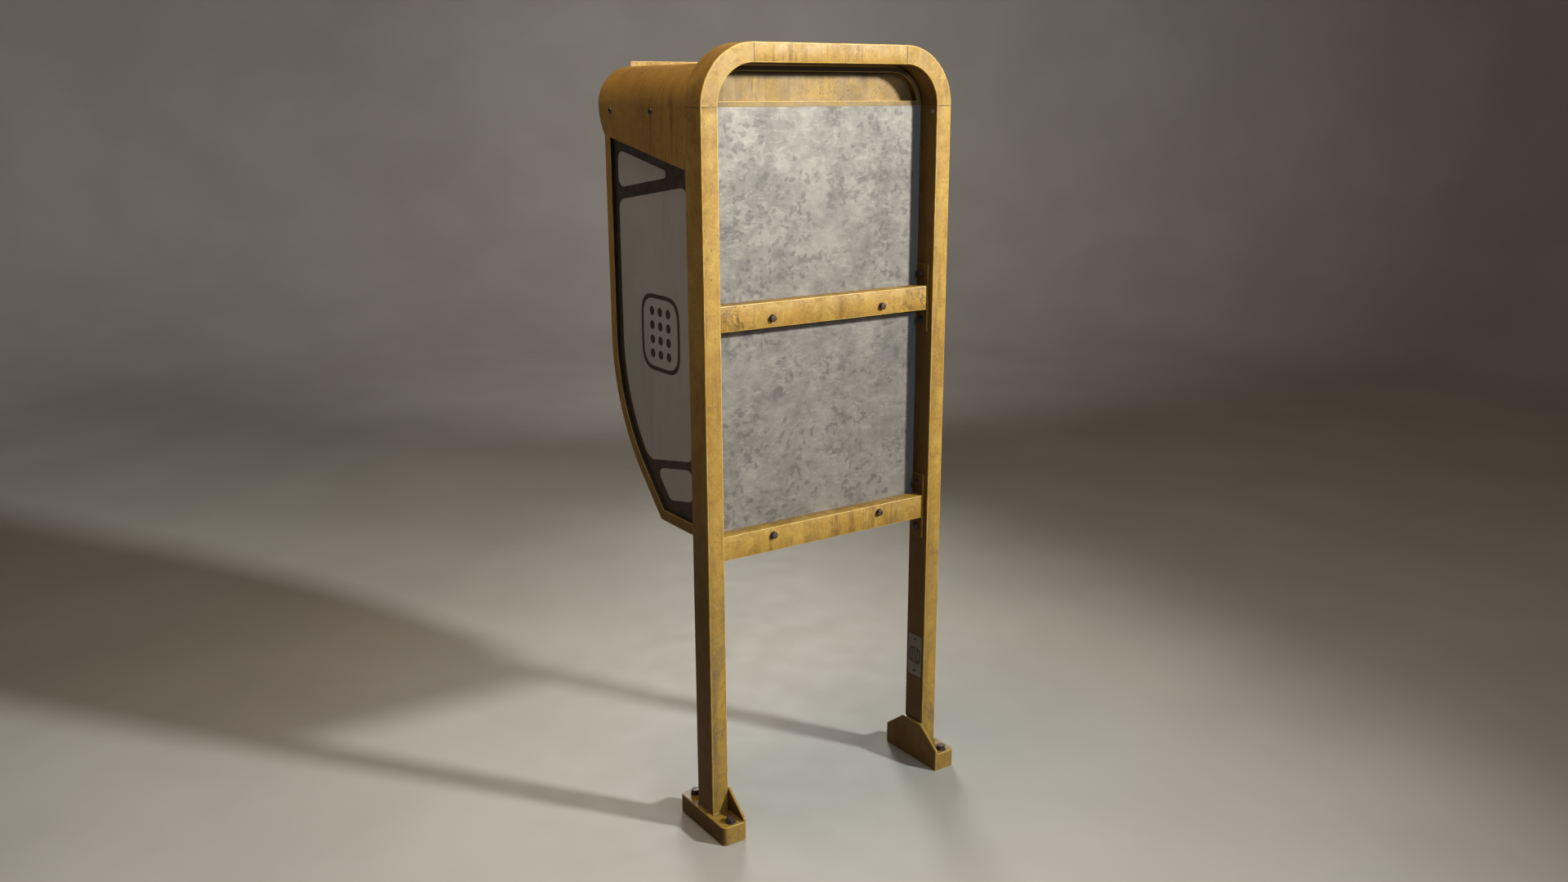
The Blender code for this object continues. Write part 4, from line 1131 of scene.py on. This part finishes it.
def make_hood_details():
    low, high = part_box("sign_plate")
    middle = (low.z + high.z) / 2
    for index, x in enumerate((low.x + 0.014, 0.0, high.x - 0.014)):
        for end, z in (("lower", low.z + 0.013), ("upper", high.z - 0.026)):
            cap_screw(f"sign_screw_{end}_{index + 1}", (x, low.y, z), OUTWARD, 0.0042, RUST)
    print_mark("sign_mark_{}", (0.0, middle - 0.004), 0.090, on_front(low.y - PRINT_SHEET / 2),
               "paint")
    low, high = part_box("hood_lamp")
    for side, x in (("left", -0.165), ("right", 0.165)):  # straps that hold the lamp
        outer, loop = [[(low.y - gap, high.z), (low.y - gap, low.z - gap),
                        (high.y + gap, low.z - gap), (high.y + gap, high.z)]
                       for gap in (0.0016, 0.0004)]
        bm = bmesh.new()
        ends = [[bm.verts.new((x + s * 0.009, y, z)) for y, z in outer + loop[::-1]]
                for s in (-1, 1)]
        wrap(bm, ends)
        for face in ends:
            for i in range(3):
                bm.faces.new((face[i], face[i + 1], face[6 - i], face[7 - i]))
        name = f"lamp_strap_{side}"
        piece(name, from_bmesh(bm, name), STEEL)
    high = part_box("shelf")[1]
    places = [(x, high.y - 0.003, high.z - 0.012) for x in (-0.29, -0.10, 0.10, 0.29)]
    cap_screws("shelf_screw", places, OUTWARD, 0.0050, RUST)


make_prints()
make_fasteners()
make_post_plate()
make_welds()
make_phone_case()
make_keypad()
make_front_fittings()
make_volume_button()
make_vault_details()
make_handset()
make_gland()
make_hood_details()


# ---------------- stage

def make_stage():
    """A pale floor that turns up into a pale wall all round, far from the object."""
    floor_reach, bend, wall = 7.0, 2.5, 5.0
    profile = [(floor_reach * (i + 1) / 6, 0.0) for i in range(6)]
    profile += [(floor_reach + bend * sin(radians(a)), bend * (1 - cos(radians(a))))
                for a in range(9, 91, 9)]
    profile.append((floor_reach + bend, bend + wall))
    bm = bmesh.new()
    steps = 96
    centre = bm.verts.new((0, 0, 0))
    rings = [ring(bm, [r] * steps, z) for r, z in profile]
    for i in range(steps):
        j = (i + 1) % steps
        bm.faces.new((centre, rings[0][i], rings[0][j]))
        for low, high in zip(rings, rings[1:]):
            bm.faces.new((low[i], high[i], high[j], low[j]))
    mesh = from_bmesh(bm, "studio")
    mesh.flip_normals()
    s = Surface("studio_floor")
    shade = s.blend(s.varied(1.5, 4, 0.0, 1.0), (0.42, 0.395, 0.370), (0.46, 0.435, 0.410))
    mesh.materials.append(s.finish(shade, s.varied(8, 3, 0.75, 0.85)))
    studio = shown("studio", mesh)


def area_light(name, place, target, size, power, colour, spread=180.0):
    data = bpy.data.lights.new(name, "AREA")
    data.shape = "DISK"
    data.size = size
    data.energy = power
    data.color = colour
    data.spread = radians(spread)
    lamp = shown(name, data)
    lamp.location = place
    lamp.rotation_mode = "QUATERNION"
    lamp.rotation_quaternion = (Vector(target) - Vector(place)).to_track_quat("-Z", "Y")


def make_lights():
    """Key and cool fill from behind, warm top light, wall wash, front light, warm room."""
    swing, rise, reach = radians(33.0), radians(18.5), 6.0
    top = Vector((-0.1, 0.15, 2.0))
    away = Vector((-sin(swing) * cos(rise), cos(swing) * cos(rise), sin(rise)))
    area_light("key", top + away * reach, (1.10, 0.15, 2.25), 0.60, 128.0,
               (0.93, 0.99, 0.93), 72.0)
    area_light("overhead", (0.5, -0.3, 5.0), (0.1, -0.1, 1.9), 1.2, 20.0,
               (1.0, 0.84, 0.62), 100.0)
    area_light("fill", (-0.2, 5.4, 3.2), (0.0, 0.1, 1.4), 2.0, 52.0, (0.84, 0.92, 1.0))
    area_light("wall_wash", (-1.2, -2.6, 3.4), (-5.0, -8.5, 1.2), 1.5, 48.0,
               (1.0, 0.99, 0.97), 110.0)
    area_light("front", (-2.7, -4.4, 1.7), (0.0, 0.0, 1.35), 1.6, 30.0,
               (0.98, 1.0, 0.94), 52.0)
    world = bpy.data.worlds.new("room")
    bpy.context.scene.world = world
    world.use_nodes = True
    sky = world.node_tree.nodes["Background"]
    sky.inputs["Color"].default_value = (1.0, 0.81, 0.55, 1.0)
    sky.inputs["Strength"].default_value = 0.125
    bpy.context.scene.view_settings.view_transform = "Standard"


def make_camera():
    """The photograph's viewing angle, from a fit of the frame's edges in perspective."""
    yaw, pitch, roll = 0.59126, 0.25324, -0.0034
    forward = Vector((-sin(yaw) * cos(pitch), -cos(yaw) * cos(pitch), -sin(pitch)))
    level = Vector((-cos(yaw), sin(yaw), 0.0))
    upright = level.cross(forward)
    right = cos(roll) * level + sin(roll) * upright
    up = -sin(roll) * level + cos(roll) * upright
    data = bpy.data.cameras.new("camera")
    data.sensor_width = 36.0
    data.lens = 30.485
    data.clip_end = 60.0
    camera = shown("camera", data)
    turn = Matrix((right, up, -forward)).transposed().to_4x4()
    camera.matrix_world = Matrix.Translation((2.085, 3.110, 1.993)) @ turn
    bpy.context.scene.camera = camera


make_camera()
make_lights()
make_stage()
